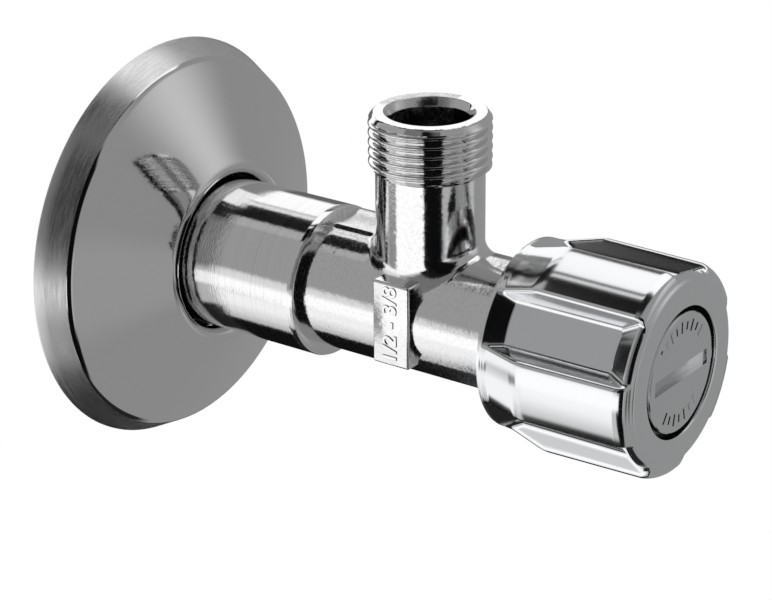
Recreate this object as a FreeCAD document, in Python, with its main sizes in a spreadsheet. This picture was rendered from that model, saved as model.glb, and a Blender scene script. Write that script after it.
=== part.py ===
import math
import os

import FreeCAD
import Part
import Sketcher

# Angle valve with a filter, in millimetres.
# The origin is on the inlet axis in the plane of the wall. +X runs out of the wall to the knob,
# +Z runs up through the outlet branch.

# Driving dimensions: each can be set by itself, and everything else is worked out from them
SIZES = {
    # Inlet
    "inlet_thread_radius": 10.478,
    "inlet_thread_length": 12.0,
    "inlet_tip_chamfer": 0.8,
    "seal_groove_setback": 0.6,
    "seal_groove_width": 1.6,
    "seal_groove_depth": 0.878,
    "seal_ring_stand_out": 0.12,
    "seal_ring_clearance": 0.05,
    "inlet_bore_radius": 6.0,
    # Sleeve, waist and what stands on them
    "sleeve_step": 0.322,
    "sleeve_end": 30.6,
    "sleeve_edge_round": 0.35,
    "waist_wall": 1.2,
    "plate_offset": 0.2,
    "plate_width": 5.9,
    "plate_below": 5.4,
    "plate_above": 6.6,
    "plate_stand_out": 0.7,
    "plate_corner_round": 0.5,
    "cast_pad_top": 9.2,
    "cast_pad_side": 1.6,
    # Outlet branch
    "branch_setoff": 15.6,
    "outlet_thread_radius": 8.331,
    "outlet_top": 28.0,
    "outlet_thread_length": 8.0,
    "outlet_thread_runout": 0.7,
    "outlet_tip_chamfer": 0.8,
    "neck_relief": 0.931,
    "neck_root_round": 1.6,
    "neck_wall": 1.9,
    "outlet_way_step": 1.1,
    "outlet_socket_depth": 9.0,
    "outlet_socket_taper": 0.9,
    "outlet_mouth_width": 0.6,
    "outlet_mouth_depth": 1.2,
    # Seat and chamber
    "chamber_radius": 7.4,
    "seat_setback": 0.1,
    "seat_web": 2.0,
    "seat_inset": 1.7,
    "seat_lip_width": 0.8,
    "seat_lip_height": 1.0,
    "seat_lip_slope": 0.4,
    "bonnet_step": 0.5,
    # Wall rosette
    "rosette_rim_radius": 29.5,
    "rosette_rim_taper": 0.6,
    "rosette_rim_width": 3.8,
    "rosette_slope": 0.503,
    "rosette_gap": 0.4,
    "rosette_wall": 0.8,
    "rosette_collar_round": 1.7,
    "rosette_crease_round": 4.0,
    "grip_bead_setback": 3.8,
    "grip_bead_width": 2.4,
    "grip_bead_depth": 0.9,
    "rosette_flange_tail": 0.6,
    "grip_ring_section": 0.55,
    "sliding_clearance": 0.1,
    # Piston
    "travel": 3.75,
    "piston_gap": 1.1,
    "piston_nose_wall": 1.8,
    "washer_cup_depth": 1.4,
    "washer_cup_wall": 0.45,
    "washer_clearance": 0.05,
    "washer_thickness": 2.25,
    "seat_clearance": 0.05,
    "entry_window_setoff": 0.1,
    "entry_window_length": 1.2,
    "entry_window_width": 3.2,
    "land_setoff": 0.2,
    "land_width": 2.4,
    "land_clearance": 0.1,
    "piston_ring_section": 0.5,
    "piston_ring_groove_width": 1.1,
    "filter_way_tail": 0.4,
    "filter_room_step": 0.6,
    "exit_window_setoff": 0.8,
    "exit_window_length": 6.4,
    "exit_window_width": 4.0,
    "filter_room_tail": 0.6,
    "thread_engagement": 5.4,
    "piston_tail_wall": 0.75,
    "lug_length": 3.2,
    "lug_gap": 0.2,
    "lug_clearance": 0.05,
    "washer_screw_radius": 1.5,
    "washer_screw_length": 3.6,
    "washer_screw_head_radius": 2.8,
    "washer_screw_head_height": 1.3,
    "washer_screw_slot_width": 0.8,
    "washer_screw_slot_depth": 0.7,
    # Bonnet
    "bonnet_clearance": 0.05,
    "skirt_clearance": 0.1,
    "skirt_lead": 2.5,
    "skirt_slot_width": 3.0,
    "skirt_slot_tail": 0.45,
    "body_end_setback": 0.8,
    "bonnet_seal_thickness": 1.0,
    "bonnet_seal_inset": 0.1,
    "hexagon_inset": 1.1,
    "hexagon_thickness": 3.2,
    "hexagon_corner_chamfer": 0.5,
    "bonnet_neck_wall": 0.8,
    "ring_groove_setoff": 1.7,
    "ring_groove_pitch": 2.4,
    "bonnet_front_wall": 2.1,
    "ring_groove_width": 1.0,
    "ring_groove_depth": 0.9,
    "spindle_ring_section": 0.44,
    # Spindle
    "running_clearance": 0.05,
    "journal_step": 0.55,
    "spindle_wall": 0.95,
    "tail_play": 0.05,
    "collar_play": 0.25,
    "collar_thickness": 1.5,
    "thrust_washer_thickness": 0.54,
    "thrust_clearance": 0.03,
    "circlip_clearance": 0.1,
    "circlip_thickness": 0.7,
    "circlip_groove_depth": 0.4,
    "circlip_reach": 1.05,
    "circlip_opening": 40.0,
    "drive_setoff": 1.9,
    "drive_flat_depth": 0.45,
    # Knob
    "knob_overlap": 2.2,
    "knob_length": 23.1,
    "knob_gap": 1.2,
    "knob_wall": 1.4,
    "knob_rim_height": 1.5,
    "knob_back_rim_drop": 0.2,
    "knob_back_rim_width": 0.6,
    "knob_back_slope": 2.6,
    "knob_front_slope": 2.7,
    "knob_front_rim_width": 1.3,
    "knob_front_round": 1.2,
    "lobe_height": 3.0,
    "lobe_width": 8.7,
    "lobe_count": 5,
    "lobe_turn": 24.5,
    "lobe_back_inset": 0.7,
    "lobe_front_inset": 0.3,
    "lobe_edge_round": 0.5,
    "lobe_slope_setoff": 1.2,
    "lobe_slope_length": 5.5,
    "lobe_slope_foot": 0.05,
    "lobe_taper": 0.25,
    "lobe_front_chamfer": 0.8,
    "knob_ring_width": 2.8,
    # Plug
    "plug_gap": 0.4,
    "plug_front_inset": 0.1,
    "plug_thickness": 2.1,
    "plug_edge_chamfer": 0.2,
    "plug_skirt_length": 2.0,
    "plug_skirt_wall": 1.5,
    "plug_slot_width": 2.1,
    "plug_slot_depth": 1.2,
    "plug_slot_length": 13.4,
    "plug_ring_room": 0.6,
    "plug_ring_section": 0.28,
    "web_setback": 1.35,
    # Filter
    "filter_setoff": 1.5,
    "filter_collar_length": 1.8,
    "filter_collar_clearance": 0.15,
    "filter_collar_wall": 1.2,
    "filter_ring_section": 0.35,
    "filter_ring_groove_width": 0.8,
    "filter_mesh_gap": 0.6,
    "filter_mesh_wall": 0.3,
    "filter_mesh_tail": 1.1,
    "filter_cap_thickness": 1.2,
    "filter_cap_gap": 0.5,
    "filter_stem_radius": 1.3,
    "filter_rib_width": 0.6,
    "filter_rib_count": 3,
    "filter_head_gap": 0.4,
    "filter_head_length": 2.3,
    "filter_head_clearance": 0.1,
    # How far a cutting shape stands out of what it cuts
    "cut_margin": 1.0,
}


class Size:
    """A length that carries both its number and the formula that binds it to the sheet."""

    def __init__(self, value, text):
        self.value = value
        self.text = text

    def joined(self, other, sign, value):
        return Size(value, "(" + self.text + " " + sign + " " + as_size(other).text + ")")

    def __add__(self, other):
        return self.joined(other, "+", self.value + as_size(other).value)

    def __sub__(self, other):
        return self.joined(other, "-", self.value - as_size(other).value)

    def __mul__(self, other):
        return self.joined(other, "*", self.value * as_size(other).value)

    def __truediv__(self, other):
        return self.joined(other, "/", self.value / as_size(other).value)

    def __neg__(self):
        return Size(-self.value, "(0 - " + self.text + ")")


def as_size(number):
    """Lets a plain number stand where a size is meant."""
    if isinstance(number, Size):
        return number
    return Size(float(number), repr(float(number)))


class SizeSheet:
    """The driving dimensions: a spreadsheet with one alias for each of them."""

    def __init__(self, doc, sizes):
        sheet = doc.addObject("Spreadsheet::Sheet", "Sizes")
        for row, (name, value) in enumerate(sizes.items(), start=1):
            sheet.set("A" + str(row), name)
            sheet.set("B" + str(row), str(value))
            sheet.setAlias("B" + str(row), name)
            setattr(self, name, Size(float(value), "Sizes." + name))
        doc.recompute()


doc = FreeCAD.newDocument("angle_valve")
size = SizeSheet(doc, SIZES)
FULL_TURN = 360
PARTS = []


def vector(along, across, up=0):
    return FreeCAD.Vector(along, across, up)


def new_body(label):
    """Starts the body of one sub-part."""
    body = doc.addObject("PartDesign::Body", label)
    body.Label = label
    PARTS.append(body)
    return body


def new_sketch(body, role, name, offset=None, turn=None):
    """A sketch on one of the body's own origin planes, moved off it by offset and turned in it."""
    sketch = body.newObject("Sketcher::SketchObject", name)
    plane = [item for item in body.Origin.OriginFeatures if item.Role == role][0]
    sketch.AttachmentSupport = (plane, [""])
    sketch.MapMode = "FlatFace"
    for axis, length in (offset or {}).items():
        sketch.setExpression("AttachmentOffset.Base." + axis, length.text)
    if turn is not None:
        sketch.setExpression("AttachmentOffset.Rotation.Angle", turn.text)
    return sketch


def hold(sketch, kind, first, first_end, second, second_end, length):
    """Ties the distance between two points of the sketch to a size."""
    number = sketch.addConstraint(
        Sketcher.Constraint(kind, first, first_end, second, second_end, length.value)
    )
    sketch.setExpression("Constraints[" + str(number) + "]", length.text)


def outline(sketch, points):
    """A closed outline of straight lines through the given points."""
    points = [(as_size(along), as_size(across)) for along, across in points]
    count = len(points)
    for index, (along, across) in enumerate(points):
        next_along, next_across = points[(index + 1) % count]
        start = vector(along.value, across.value)
        end = vector(next_along.value, next_across.value)
        sketch.addGeometry(Part.LineSegment(start, end), False)
    for index in range(count):
        sketch.addConstraint(Sketcher.Constraint("Coincident", index, 2, (index + 1) % count, 1))
    for index, (along, across) in enumerate(points):
        hold(sketch, "DistanceX", -1, 1, index, 1, along)
        hold(sketch, "DistanceY", -1, 1, index, 1, across)


def rectangle(left, right, low, high):
    """The corners of an upright rectangle."""
    return [(left, low), (right, low), (right, high), (left, high)]


def revolve(body, name, points, place=None, cut=False, angle=FULL_TURN):
    """Turns an outline round the X axis or, at a place on it, round the upright axis there."""
    upright = place is not None
    sketch = new_sketch(body, "XZ_Plane", name + "_outline", {"x": place} if upright else None)
    outline(sketch, points)
    feature = body.newObject("PartDesign::Groove" if cut else "PartDesign::Revolution", name)
    feature.Profile = sketch
    feature.ReferenceAxis = (sketch, ["V_Axis" if upright else "H_Axis"])
    if isinstance(angle, Size):
        feature.setExpression("Angle", angle.text)
    else:
        feature.Angle = angle
    body.Tip = feature
    doc.recompute()
    return feature


def extrude(body, name, sketch, length, cut=False, both_ways=False, backwards=False):
    """Pads or pockets a sketch by a length."""
    feature = body.newObject("PartDesign::Pocket" if cut else "PartDesign::Pad", name)
    feature.Profile = sketch
    feature.setExpression("Length", as_size(length).text)
    feature.Midplane = both_ways
    feature.Reversed = backwards
    body.Tip = feature
    doc.recompute()
    return feature


def round_pattern(body, name, feature, count):
    """Repeats a feature round the X axis."""
    pattern = body.newObject("PartDesign::PolarPattern", name)
    pattern.Originals = [feature]
    axis = [item for item in body.Origin.OriginFeatures if item.Role == "X_Axis"][0]
    pattern.Axis = (axis, [""])
    pattern.Angle = FULL_TURN
    if isinstance(count, Size):
        pattern.setExpression("Occurrences", count.text)
    else:
        pattern.Occurrences = count
    body.Tip = pattern
    doc.recompute()
    return pattern


def round_edges(body, name, radius, chosen):
    """Rounds the edges of the body that the given test picks."""
    edges = ["Edge" + str(number) for number, edge in enumerate(body.Shape.Edges, start=1) if chosen(edge)]
    base = body.Tip
    feature = body.newObject("PartDesign::Fillet", name)
    feature.Base = (base, edges)
    feature.setExpression("Radius", radius.text)
    body.Tip = feature
    doc.recompute()
    return feature


def is_rim(place, radius):
    """Picks circles round the X axis by where they lie and how large they are."""
    def chosen(edge):
        curve = edge.Curve
        if not isinstance(curve, Part.Circle):
            return False
        centred = abs(curve.Center.y) < 0.01 and abs(curve.Center.z) < 0.01
        return centred and abs(curve.Center.x - place.value) < 0.01 and abs(curve.Radius - radius.value) < 0.01
    return chosen


def ring(label, start, end, inner, outer, angle=FULL_TURN):
    """A ring of rectangular section round the X axis."""
    body = new_body(label)
    revolve(body, label + "_ring", rectangle(start, end, inner, outer), angle=angle)
    return body


def round_ring(label, place, radius, section):
    """A rubber ring of round section round the X axis."""
    torus = doc.addObject("Part::Torus", label)
    torus.Label = label
    torus.setExpression("Radius1", radius.text)
    torus.setExpression("Radius2", section.text)
    torus.Placement = FreeCAD.Placement(vector(0, 0), FreeCAD.Rotation(FreeCAD.Vector(0, 1, 0), 90))
    torus.setExpression("Placement.Base.x", place.text)
    PARTS.append(torus)
    return torus


class Derived:
    """Radii and places that follow from the driving dimensions."""

    def __init__(self):
        self.set_radii()
        self.set_places()

    def set_radii(self):
        self.sleeve = size.inlet_thread_radius + size.sleeve_step
        self.seal_groove = size.inlet_thread_radius - size.seal_groove_depth
        # From the chamber outwards
        self.bonnet_bore = size.chamber_radius + size.bonnet_step
        self.waist = self.bonnet_bore + size.waist_wall
        self.knob_cavity = self.waist + size.knob_gap
        self.knob_recess = self.knob_cavity + size.knob_wall
        self.knob_rim = self.knob_recess + size.knob_rim_height
        self.knob_back_rim = self.knob_rim - size.knob_back_rim_drop
        self.lobe = self.knob_recess + size.lobe_height
        self.plug_pocket = self.knob_recess - size.knob_ring_width
        self.plug = self.plug_pocket - size.plug_gap
        # From the chamber inwards
        self.piston = size.chamber_radius - size.piston_gap
        self.skirt_bore = self.piston + size.skirt_clearance
        self.spindle_thread = self.piston - size.piston_tail_wall - size.running_clearance
        self.journal = self.spindle_thread - size.journal_step
        self.journal_bore = self.journal + size.running_clearance
        self.filter_way = self.journal - size.spindle_wall
        self.filter_mesh = self.filter_way - size.filter_mesh_gap
        self.seat_bore = self.piston - size.seat_inset
        # Outlet branch
        self.neck = size.outlet_thread_radius - size.neck_relief
        self.outlet_socket = self.neck - size.neck_wall
        self.outlet_way = self.outlet_socket - size.outlet_way_step
        self.outlet_mouth = self.outlet_socket + size.outlet_mouth_width
        # Grooves and rooms
        self.ring_groove = self.journal_bore + size.ring_groove_depth
        self.bonnet_neck = self.ring_groove + size.bonnet_neck_wall
        self.hexagon_flat = self.waist - size.hexagon_inset
        self.filter_room = self.filter_way + size.filter_room_step
        self.filter_collar_bore = self.filter_way - size.filter_collar_wall
        # Rosette
        self.rosette_hole = self.sleeve + size.rosette_gap
        self.rosette_crease = size.rosette_rim_radius - size.rosette_rim_taper

    def set_places(self):
        # Along the inlet axis, from the seat to the spindle's collar
        self.branch = size.sleeve_end + size.branch_setoff
        self.seat = size.sleeve_end - size.seat_setback
        self.washer_face = self.seat + size.seat_clearance
        self.piston_nose = self.washer_face + size.washer_thickness
        self.nose_end = self.piston_nose + size.piston_nose_wall
        self.entry_start = self.nose_end + size.entry_window_setoff
        self.entry_end = self.entry_start + size.entry_window_length
        self.land_start = self.entry_end + size.land_setoff
        self.land_end = self.land_start + size.land_width
        self.piston_ring = (self.land_start + self.land_end) / 2
        self.filter_start = self.land_end + size.filter_setoff
        self.filter_collar_end = self.filter_start + size.filter_collar_length
        self.filter_ring = (self.filter_start + self.filter_collar_end) / 2
        self.filter_way_end = self.filter_collar_end + size.filter_way_tail
        self.exit_start = self.filter_way_end + size.exit_window_setoff
        self.exit_end = self.exit_start + size.exit_window_length
        self.filter_room_end = self.exit_end + size.filter_room_tail
        self.filter_mesh_end = self.exit_end + size.filter_mesh_tail
        self.spindle_tail = self.filter_room_end + size.travel + size.tail_play
        self.piston_end = self.spindle_tail + size.thread_engagement
        self.lug_start = self.piston_end - size.lug_length
        self.bonnet_seat = self.lug_start - size.skirt_lead
        self.slot_end = self.piston_end + size.travel + size.skirt_slot_tail
        self.collar_back = self.piston_end + size.travel + size.collar_play
        self.collar_front = self.collar_back + size.collar_thickness
        washer_room = size.thrust_washer_thickness + size.thrust_clearance * 2
        self.skirt_end = self.collar_front + washer_room
        # Body end, bonnet and knob
        self.body_end = self.skirt_end - size.body_end_setback
        self.flange = self.body_end + size.bonnet_seal_thickness
        self.inner_ring = self.skirt_end + size.ring_groove_setoff
        self.outer_ring = self.inner_ring + size.ring_groove_pitch
        self.bonnet_front = self.outer_ring + size.bonnet_front_wall
        self.drive_start = self.bonnet_front + size.drive_setoff
        self.knob_back = self.body_end - size.knob_overlap
        self.knob_front = self.knob_back + size.knob_length
        self.recess_start = self.knob_back + size.knob_back_rim_width + size.knob_back_slope
        self.front_rim = self.knob_front - size.knob_front_rim_width
        self.recess_end = self.front_rim - size.knob_front_slope
        # Plug, and what it covers
        self.plug_face = self.knob_front - size.plug_front_inset
        self.plug_back = self.plug_face - size.plug_thickness
        self.spindle_front = self.plug_back - size.plug_ring_room
        self.plug_skirt = self.spindle_front - size.plug_skirt_length
        self.web_front = self.plug_skirt - size.web_setback
        # Rosette
        rise = size.rosette_slope * (self.rosette_crease - self.rosette_hole)
        self.rosette_apex = size.rosette_rim_width + rise
        self.bead_front = self.rosette_apex - size.grip_bead_setback
        self.bead_back = self.bead_front - size.grip_bead_width
        self.flange_end = self.bead_back - size.rosette_flange_tail
        # Lobes
        self.lobe_start = self.knob_back + size.lobe_back_inset
        self.lobe_end = self.knob_front - size.lobe_front_inset
        self.slope_start = self.knob_back + size.lobe_slope_setoff
        self.slope_end = self.slope_start + size.lobe_slope_length
        # Outlet
        self.thread_start = size.outlet_top - size.outlet_thread_length


at = Derived()


# Valve body

def build_valve_body():
    body = new_body("valve_body")
    tip = -size.inlet_thread_length
    groove_end = -size.seal_groove_setback
    groove_start = groove_end - size.seal_groove_width
    revolve(body, "barrel", [
        (tip, 0),
        (tip, size.inlet_thread_radius - size.inlet_tip_chamfer),
        (tip + size.inlet_tip_chamfer, size.inlet_thread_radius),
        (groove_start, size.inlet_thread_radius),
        (groove_start, at.seal_groove),
        (groove_end, at.seal_groove),
        (groove_end, size.inlet_thread_radius),
        (0, size.inlet_thread_radius),
        (0, at.sleeve),
        (size.sleeve_end, at.sleeve),
        (size.sleeve_end, at.waist),
        (at.body_end, at.waist),
        (at.body_end, 0),
    ])
    round_edges(body, "sleeve_edge", size.sleeve_edge_round, is_rim(size.sleeve_end, at.sleeve))
    thread_root = at.thread_start
    revolve(body, "branch", [
        (0, 0),
        (at.neck, 0),
        (at.neck, thread_root),
        (size.outlet_thread_radius, thread_root + size.outlet_thread_runout),
        (size.outlet_thread_radius, size.outlet_top - size.outlet_tip_chamfer),
        (size.outlet_thread_radius - size.outlet_tip_chamfer, size.outlet_top),
        (0, size.outlet_top),
    ], place=at.branch)

    def is_neck_root(edge):
        # The saddle-shaped curve where the upright neck meets the barrel
        box = edge.BoundBox
        wide = box.XLength > at.neck.value and box.YLength > at.neck.value
        return wide and box.ZMin > 0 and box.ZMax < at.waist.value + 1 and box.ZLength > 0.5

    round_edges(body, "neck_root", size.neck_root_round, is_neck_root)

    plate = new_sketch(body, "XZ_Plane", "plate_outline")
    plate_centre = at.branch + size.plate_offset
    half_width = size.plate_width / 2
    left = plate_centre - half_width
    right = plate_centre + half_width
    outline(plate, rectangle(left, right, -size.plate_below, size.plate_above))
    extrude(body, "plate_boss", plate, at.waist + size.plate_stand_out)

    def is_plate_corner(edge):
        box = edge.BoundBox
        across = box.YLength > 0.2 and box.XLength < 0.01 and box.ZLength < 0.01
        at_side = min(abs(box.XMin - left.value), abs(box.XMin - right.value)) < 0.01
        return across and at_side

    round_edges(body, "plate_corners", size.plate_corner_round, is_plate_corner)

    cast_pad = new_sketch(body, "YZ_Plane", "cast_pad_outline", {"z": size.sleeve_end})
    build_cast_pad_outline(cast_pad)
    extrude(body, "cast_pad", cast_pad, at.branch - size.sleeve_end)

    web_start = at.seat - size.seat_web
    revolve(body, "through_bore", [
        (tip, 0),
        (tip, size.inlet_bore_radius),
        (web_start, size.inlet_bore_radius),
        (web_start, at.seat_bore),
        (at.seat, at.seat_bore),
        (at.seat, at.seat_bore + size.seat_lip_width),
        (at.seat - size.seat_lip_height,
         at.seat_bore + size.seat_lip_width + size.seat_lip_slope),
        (at.seat - size.seat_lip_height, size.chamber_radius),
        (at.bonnet_seat, size.chamber_radius),
        (at.bonnet_seat, at.bonnet_bore),
        (at.body_end, at.bonnet_bore),
        (at.body_end, 0),
    ], cut=True)
    socket_floor = size.outlet_top - size.outlet_socket_depth
    revolve(body, "outlet_bore", [
        (0, 0),
        (at.outlet_way, 0),
        (at.outlet_way, socket_floor - size.outlet_socket_taper),
        (at.outlet_socket, socket_floor),
        (at.outlet_socket, size.outlet_top - size.outlet_mouth_depth),
        (at.outlet_mouth, size.outlet_top),
        (0, size.outlet_top),
    ], place=at.branch, cut=True)
    return body


def build_cast_pad_outline(sketch):
    """The pad behind the branch: flat on top, and round with the sleeve's radius at the back."""
    top = size.cast_pad_top
    side = -size.cast_pad_side
    radius = at.sleeve
    corner = (radius.value ** 2 - top.value ** 2) ** 0.5
    sketch.addGeometry(Part.LineSegment(vector(side.value, top.value), vector(corner, top.value)), False)
    circle = Part.Circle(vector(0, 0), vector(0, 0, 1), radius.value)
    turn = FreeCAD.Vector(corner, top.value, 0)
    sketch.addGeometry(Part.ArcOfCircle(circle, 0, math.atan2(turn.y, turn.x)), False)
    sketch.addGeometry(Part.LineSegment(vector(radius.value, 0), vector(side.value, 0)), False)
    sketch.addGeometry(Part.LineSegment(vector(side.value, 0), vector(side.value, top.value)), False)
    sketch.addConstraint(Sketcher.Constraint("Coincident", 0, 2, 1, 2))
    sketch.addConstraint(Sketcher.Constraint("Coincident", 1, 1, 2, 1))
    sketch.addConstraint(Sketcher.Constraint("Coincident", 2, 2, 3, 1))
    sketch.addConstraint(Sketcher.Constraint("Coincident", 3, 2, 0, 1))
    sketch.addConstraint(Sketcher.Constraint("Coincident", 1, 3, -1, 1))
    sketch.addConstraint(Sketcher.Constraint("Horizontal", 0))
    sketch.addConstraint(Sketcher.Constraint("Vertical", 3))
    sketch.addConstraint(Sketcher.Constraint("PointOnObject", 1, 1, -1))
    sketch.addConstraint(Sketcher.Constraint("PointOnObject", 2, 2, -1))
    hold(sketch, "DistanceX", -1, 1, 0, 1, side)
    hold(sketch, "DistanceY", -1, 1, 0, 1, top)
    number = sketch.addConstraint(Sketcher.Constraint("Radius", 1, radius.value))
    sketch.setExpression("Constraints[" + str(number) + "]", radius.text)


# Wall rosette and its ring

def build_rosette():
    body = new_body("wall_rosette")
    wall = size.rosette_wall
    slope = size.rosette_slope
    hole = at.rosette_hole
    outer_bead = hole + size.grip_bead_depth
    # The sheet's thickness measured along X on the conical face
    slant = Size((1 + slope.value ** 2) ** 0.5, "sqrt(1 + " + slope.text + "^2)")
    face_wall = wall * slant
    inner_rim = at.rosette_crease - wall
    back_flange = hole + wall
    inner_crease = size.rosette_rim_width + slope * wall - face_wall
    inner_apex = at.rosette_apex - slope * wall - face_wall
    revolve(body, "shell", [
        (0, size.rosette_rim_radius),
        (size.rosette_rim_width, at.rosette_crease),
        (at.rosette_apex, hole),
        (at.bead_front, hole),
        (at.bead_front, outer_bead),
        (at.bead_back, outer_bead),
        (at.bead_back, hole),
        (at.flange_end, hole),
        (at.flange_end, back_flange),
        (at.bead_back - wall, back_flange),
        (at.bead_back - wall, outer_bead + wall),
        (at.bead_front + wall, outer_bead + wall),
        (at.bead_front + wall, back_flange),
        (inner_apex, back_flange),
        (inner_crease, inner_rim),
        (0, size.rosette_rim_radius - wall),
    ])
    round_edges(body, "collar_inside", size.rosette_collar_round - wall, is_rim(inner_apex, back_flange))
    round_edges(body, "collar_roll", size.rosette_collar_round, is_rim(at.rosette_apex, hole))
    round_edges(body, "crease_inside", size.rosette_crease_round - wall,
                is_rim(inner_crease, inner_rim))
    round_edges(body, "crease", size.rosette_crease_round,
                is_rim(size.rosette_rim_width, at.rosette_crease))
    ring_place = (at.bead_front + at.bead_back) / 2
    ring_radius = at.sleeve + size.sliding_clearance + size.grip_ring_section
    round_ring("rosette_grip_ring", ring_place, ring_radius, size.grip_ring_section)


def build_inlet_seal():
    end = -size.seal_groove_setback - size.seal_ring_clearance
    start = end - size.seal_groove_width + size.seal_ring_clearance * 2
    inner = at.seal_groove + size.seal_ring_clearance
    ring("inlet_seal_ring", start, end, inner, size.inlet_thread_radius + size.seal_ring_stand_out)


# Bonnet with its seal and rubber rings

def build_bonnet():
    body = new_body("bonnet")
    thread = at.bonnet_bore - size.bonnet_clearance
    flange = at.flange
    flange_front = flange + size.hexagon_thickness
    revolve(body, "bonnet_turning", [
        (at.bonnet_seat + size.bonnet_clearance, 0),
        (at.bonnet_seat + size.bonnet_clearance, thread),
        (flange, thread),
        (flange, at.bonnet_neck),
        (at.bonnet_front, at.bonnet_neck),
        (at.bonnet_front, 0),
    ])
    prism = body.newObject("PartDesign::AdditivePrism", "hexagon")
    plane = [item for item in body.Origin.OriginFeatures if item.Role == "YZ_Plane"][0]
    prism.AttachmentSupport = (plane, [""])
    prism.MapMode = "FlatFace"
    prism.setExpression("AttachmentOffset.Base.z", flange.text)
    prism.Polygon = 6
    corner = Size(at.hexagon_flat.value / math.cos(math.pi / 6), at.hexagon_flat.text + " / cos(30)")
    prism.setExpression("Circumradius", corner.text)
    prism.setExpression("Height", size.hexagon_thickness.text)
    body.Tip = prism
    doc.recompute()
    revolve(body, "hexagon_chamfer", [
        (flange_front - size.hexagon_corner_chamfer, corner),
        (flange_front, at.hexagon_flat),
        (flange_front, corner),
    ], cut=True)
    groove_radius = at.ring_groove
    bore = at.journal_bore
    half_groove = size.ring_groove_width / 2
    revolve(body, "bonnet_bore", [
        (at.bonnet_seat, 0),
        (at.bonnet_seat, at.skirt_bore),
        (at.skirt_end, at.skirt_bore),
        (at.skirt_end, bore),
        (at.inner_ring - half_groove, bore),
        (at.inner_ring - half_groove, groove_radius),
        (at.inner_ring + half_groove, groove_radius),
        (at.inner_ring + half_groove, bore),
        (at.outer_ring - half_groove, bore),
        (at.outer_ring - half_groove, groove_radius),
        (at.outer_ring + half_groove, groove_radius),
        (at.outer_ring + half_groove, bore),
        (at.bonnet_front, bore),
        (at.bonnet_front, 0),
    ], cut=True)
    slot = new_sketch(body, "XZ_Plane", "slot_outline")
    half_slot = size.skirt_slot_width / 2
    outline(slot, rectangle(at.bonnet_seat, at.slot_end, -half_slot, half_slot))
    extrude(body, "skirt_slots", slot, at.bonnet_bore * 2, cut=True, both_ways=True)
    ring("bonnet_seal_ring", at.body_end, flange, at.bonnet_bore, at.waist - size.bonnet_seal_inset)
    section = size.spindle_ring_section
    ring_radius = groove_radius - section
    round_ring("spindle_o_ring_inner", at.inner_ring, ring_radius, section)
    round_ring("spindle_o_ring_outer", at.outer_ring, ring_radius, section)


# Piston with its seat washer

def build_piston():
    body = new_body("piston")
    cup_bore = at.piston + size.washer_clearance
    cup_radius = cup_bore + size.washer_cup_wall
    cup_start = at.piston_nose - size.washer_cup_depth
    nose_end = at.nose_end
    land = size.chamber_radius - size.land_clearance
    groove_floor = size.chamber_radius - size.running_clearance - size.piston_ring_section * 2
    half_groove = size.piston_ring_groove_width / 2
    revolve(body, "piston_turning", [
        (cup_start, cup_bore),
        (cup_start, cup_radius),
        (nose_end, cup_radius),
        (nose_end, at.piston),
        (at.land_start, at.piston),
        (at.land_start, land),
        (at.piston_ring - half_groove, land),
        (at.piston_ring - half_groove, groove_floor),
        (at.piston_ring + half_groove, groove_floor),
        (at.piston_ring + half_groove, land),
        (at.land_end, land),
        (at.land_end, at.piston),
        (at.piston_end, at.piston),
        (at.piston_end, 0),
        (at.piston_nose, 0),
        (at.piston_nose, cup_bore),
    ])
    lug = new_sketch(body, "XZ_Plane", "lug_outline")
    half_lug = size.skirt_slot_width / 2 - size.lug_clearance
    outline(lug, rectangle(at.lug_start, at.piston_end, -half_lug, half_lug))
    extrude(body, "lugs", lug, (at.bonnet_bore - size.lug_gap) * 2, both_ways=True)
    thread_bore = at.spindle_thread + size.running_clearance
    revolve(body, "piston_bore", [
        (nose_end, 0),
        (nose_end, at.filter_way),
        (at.filter_way_end, at.filter_way),
        (at.filter_way_end, at.filter_room),
        (at.filter_room_end, at.filter_room),
        (at.filter_room_end, thread_bore),
        (at.piston_end, thread_bore),
        (at.piston_end, 0),
    ], cut=True)
    screw_hole = size.washer_screw_radius + size.washer_clearance
    revolve(body, "screw_hole", rectangle(at.piston_nose, nose_end, 0, screw_hole), cut=True)
    for name, start, end, width in (
        ("entry_windows", at.entry_start, at.entry_end, size.entry_window_width),
        ("exit_windows", at.exit_start, at.exit_end, size.exit_window_width),
    ):
        window = new_sketch(body, "XZ_Plane", name + "_outline")
        outline(window, rectangle(start, end, -(width / 2), width / 2))
        pocket = extrude(body, name, window, (at.piston + size.cut_margin) * 2, cut=True, both_ways=True)
        round_pattern(body, name + "_round", pocket, 4)
    round_ring("piston_o_ring", at.piston_ring, groove_floor + size.piston_ring_section,
               size.piston_ring_section)
    ring("seat_washer", at.washer_face, at.piston_nose, screw_hole, at.piston)
    build_washer_screw(at.washer_face)


def build_washer_screw(washer_face):
    body = new_body("washer_screw")
    head_face = washer_face - size.washer_screw_head_height
    revolve(body, "screw_turning", [
        (head_face, 0),
        (head_face, size.washer_screw_head_radius),
        (washer_face, size.washer_screw_head_radius),
        (washer_face, size.washer_screw_radius),
        (washer_face + size.washer_screw_length, size.washer_screw_radius),
        (washer_face + size.washer_screw_length, 0),
    ])
    slot = new_sketch(body, "XZ_Plane", "screw_slot_outline")
    half_slot = size.washer_screw_slot_width / 2
    outline(slot, rectangle(head_face, head_face + size.washer_screw_slot_depth, -half_slot, half_slot))
    extrude(body, "screw_slot", slot, size.washer_screw_head_radius * 2, cut=True, both_ways=True)


# Spindle with its washer and circlip

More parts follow.
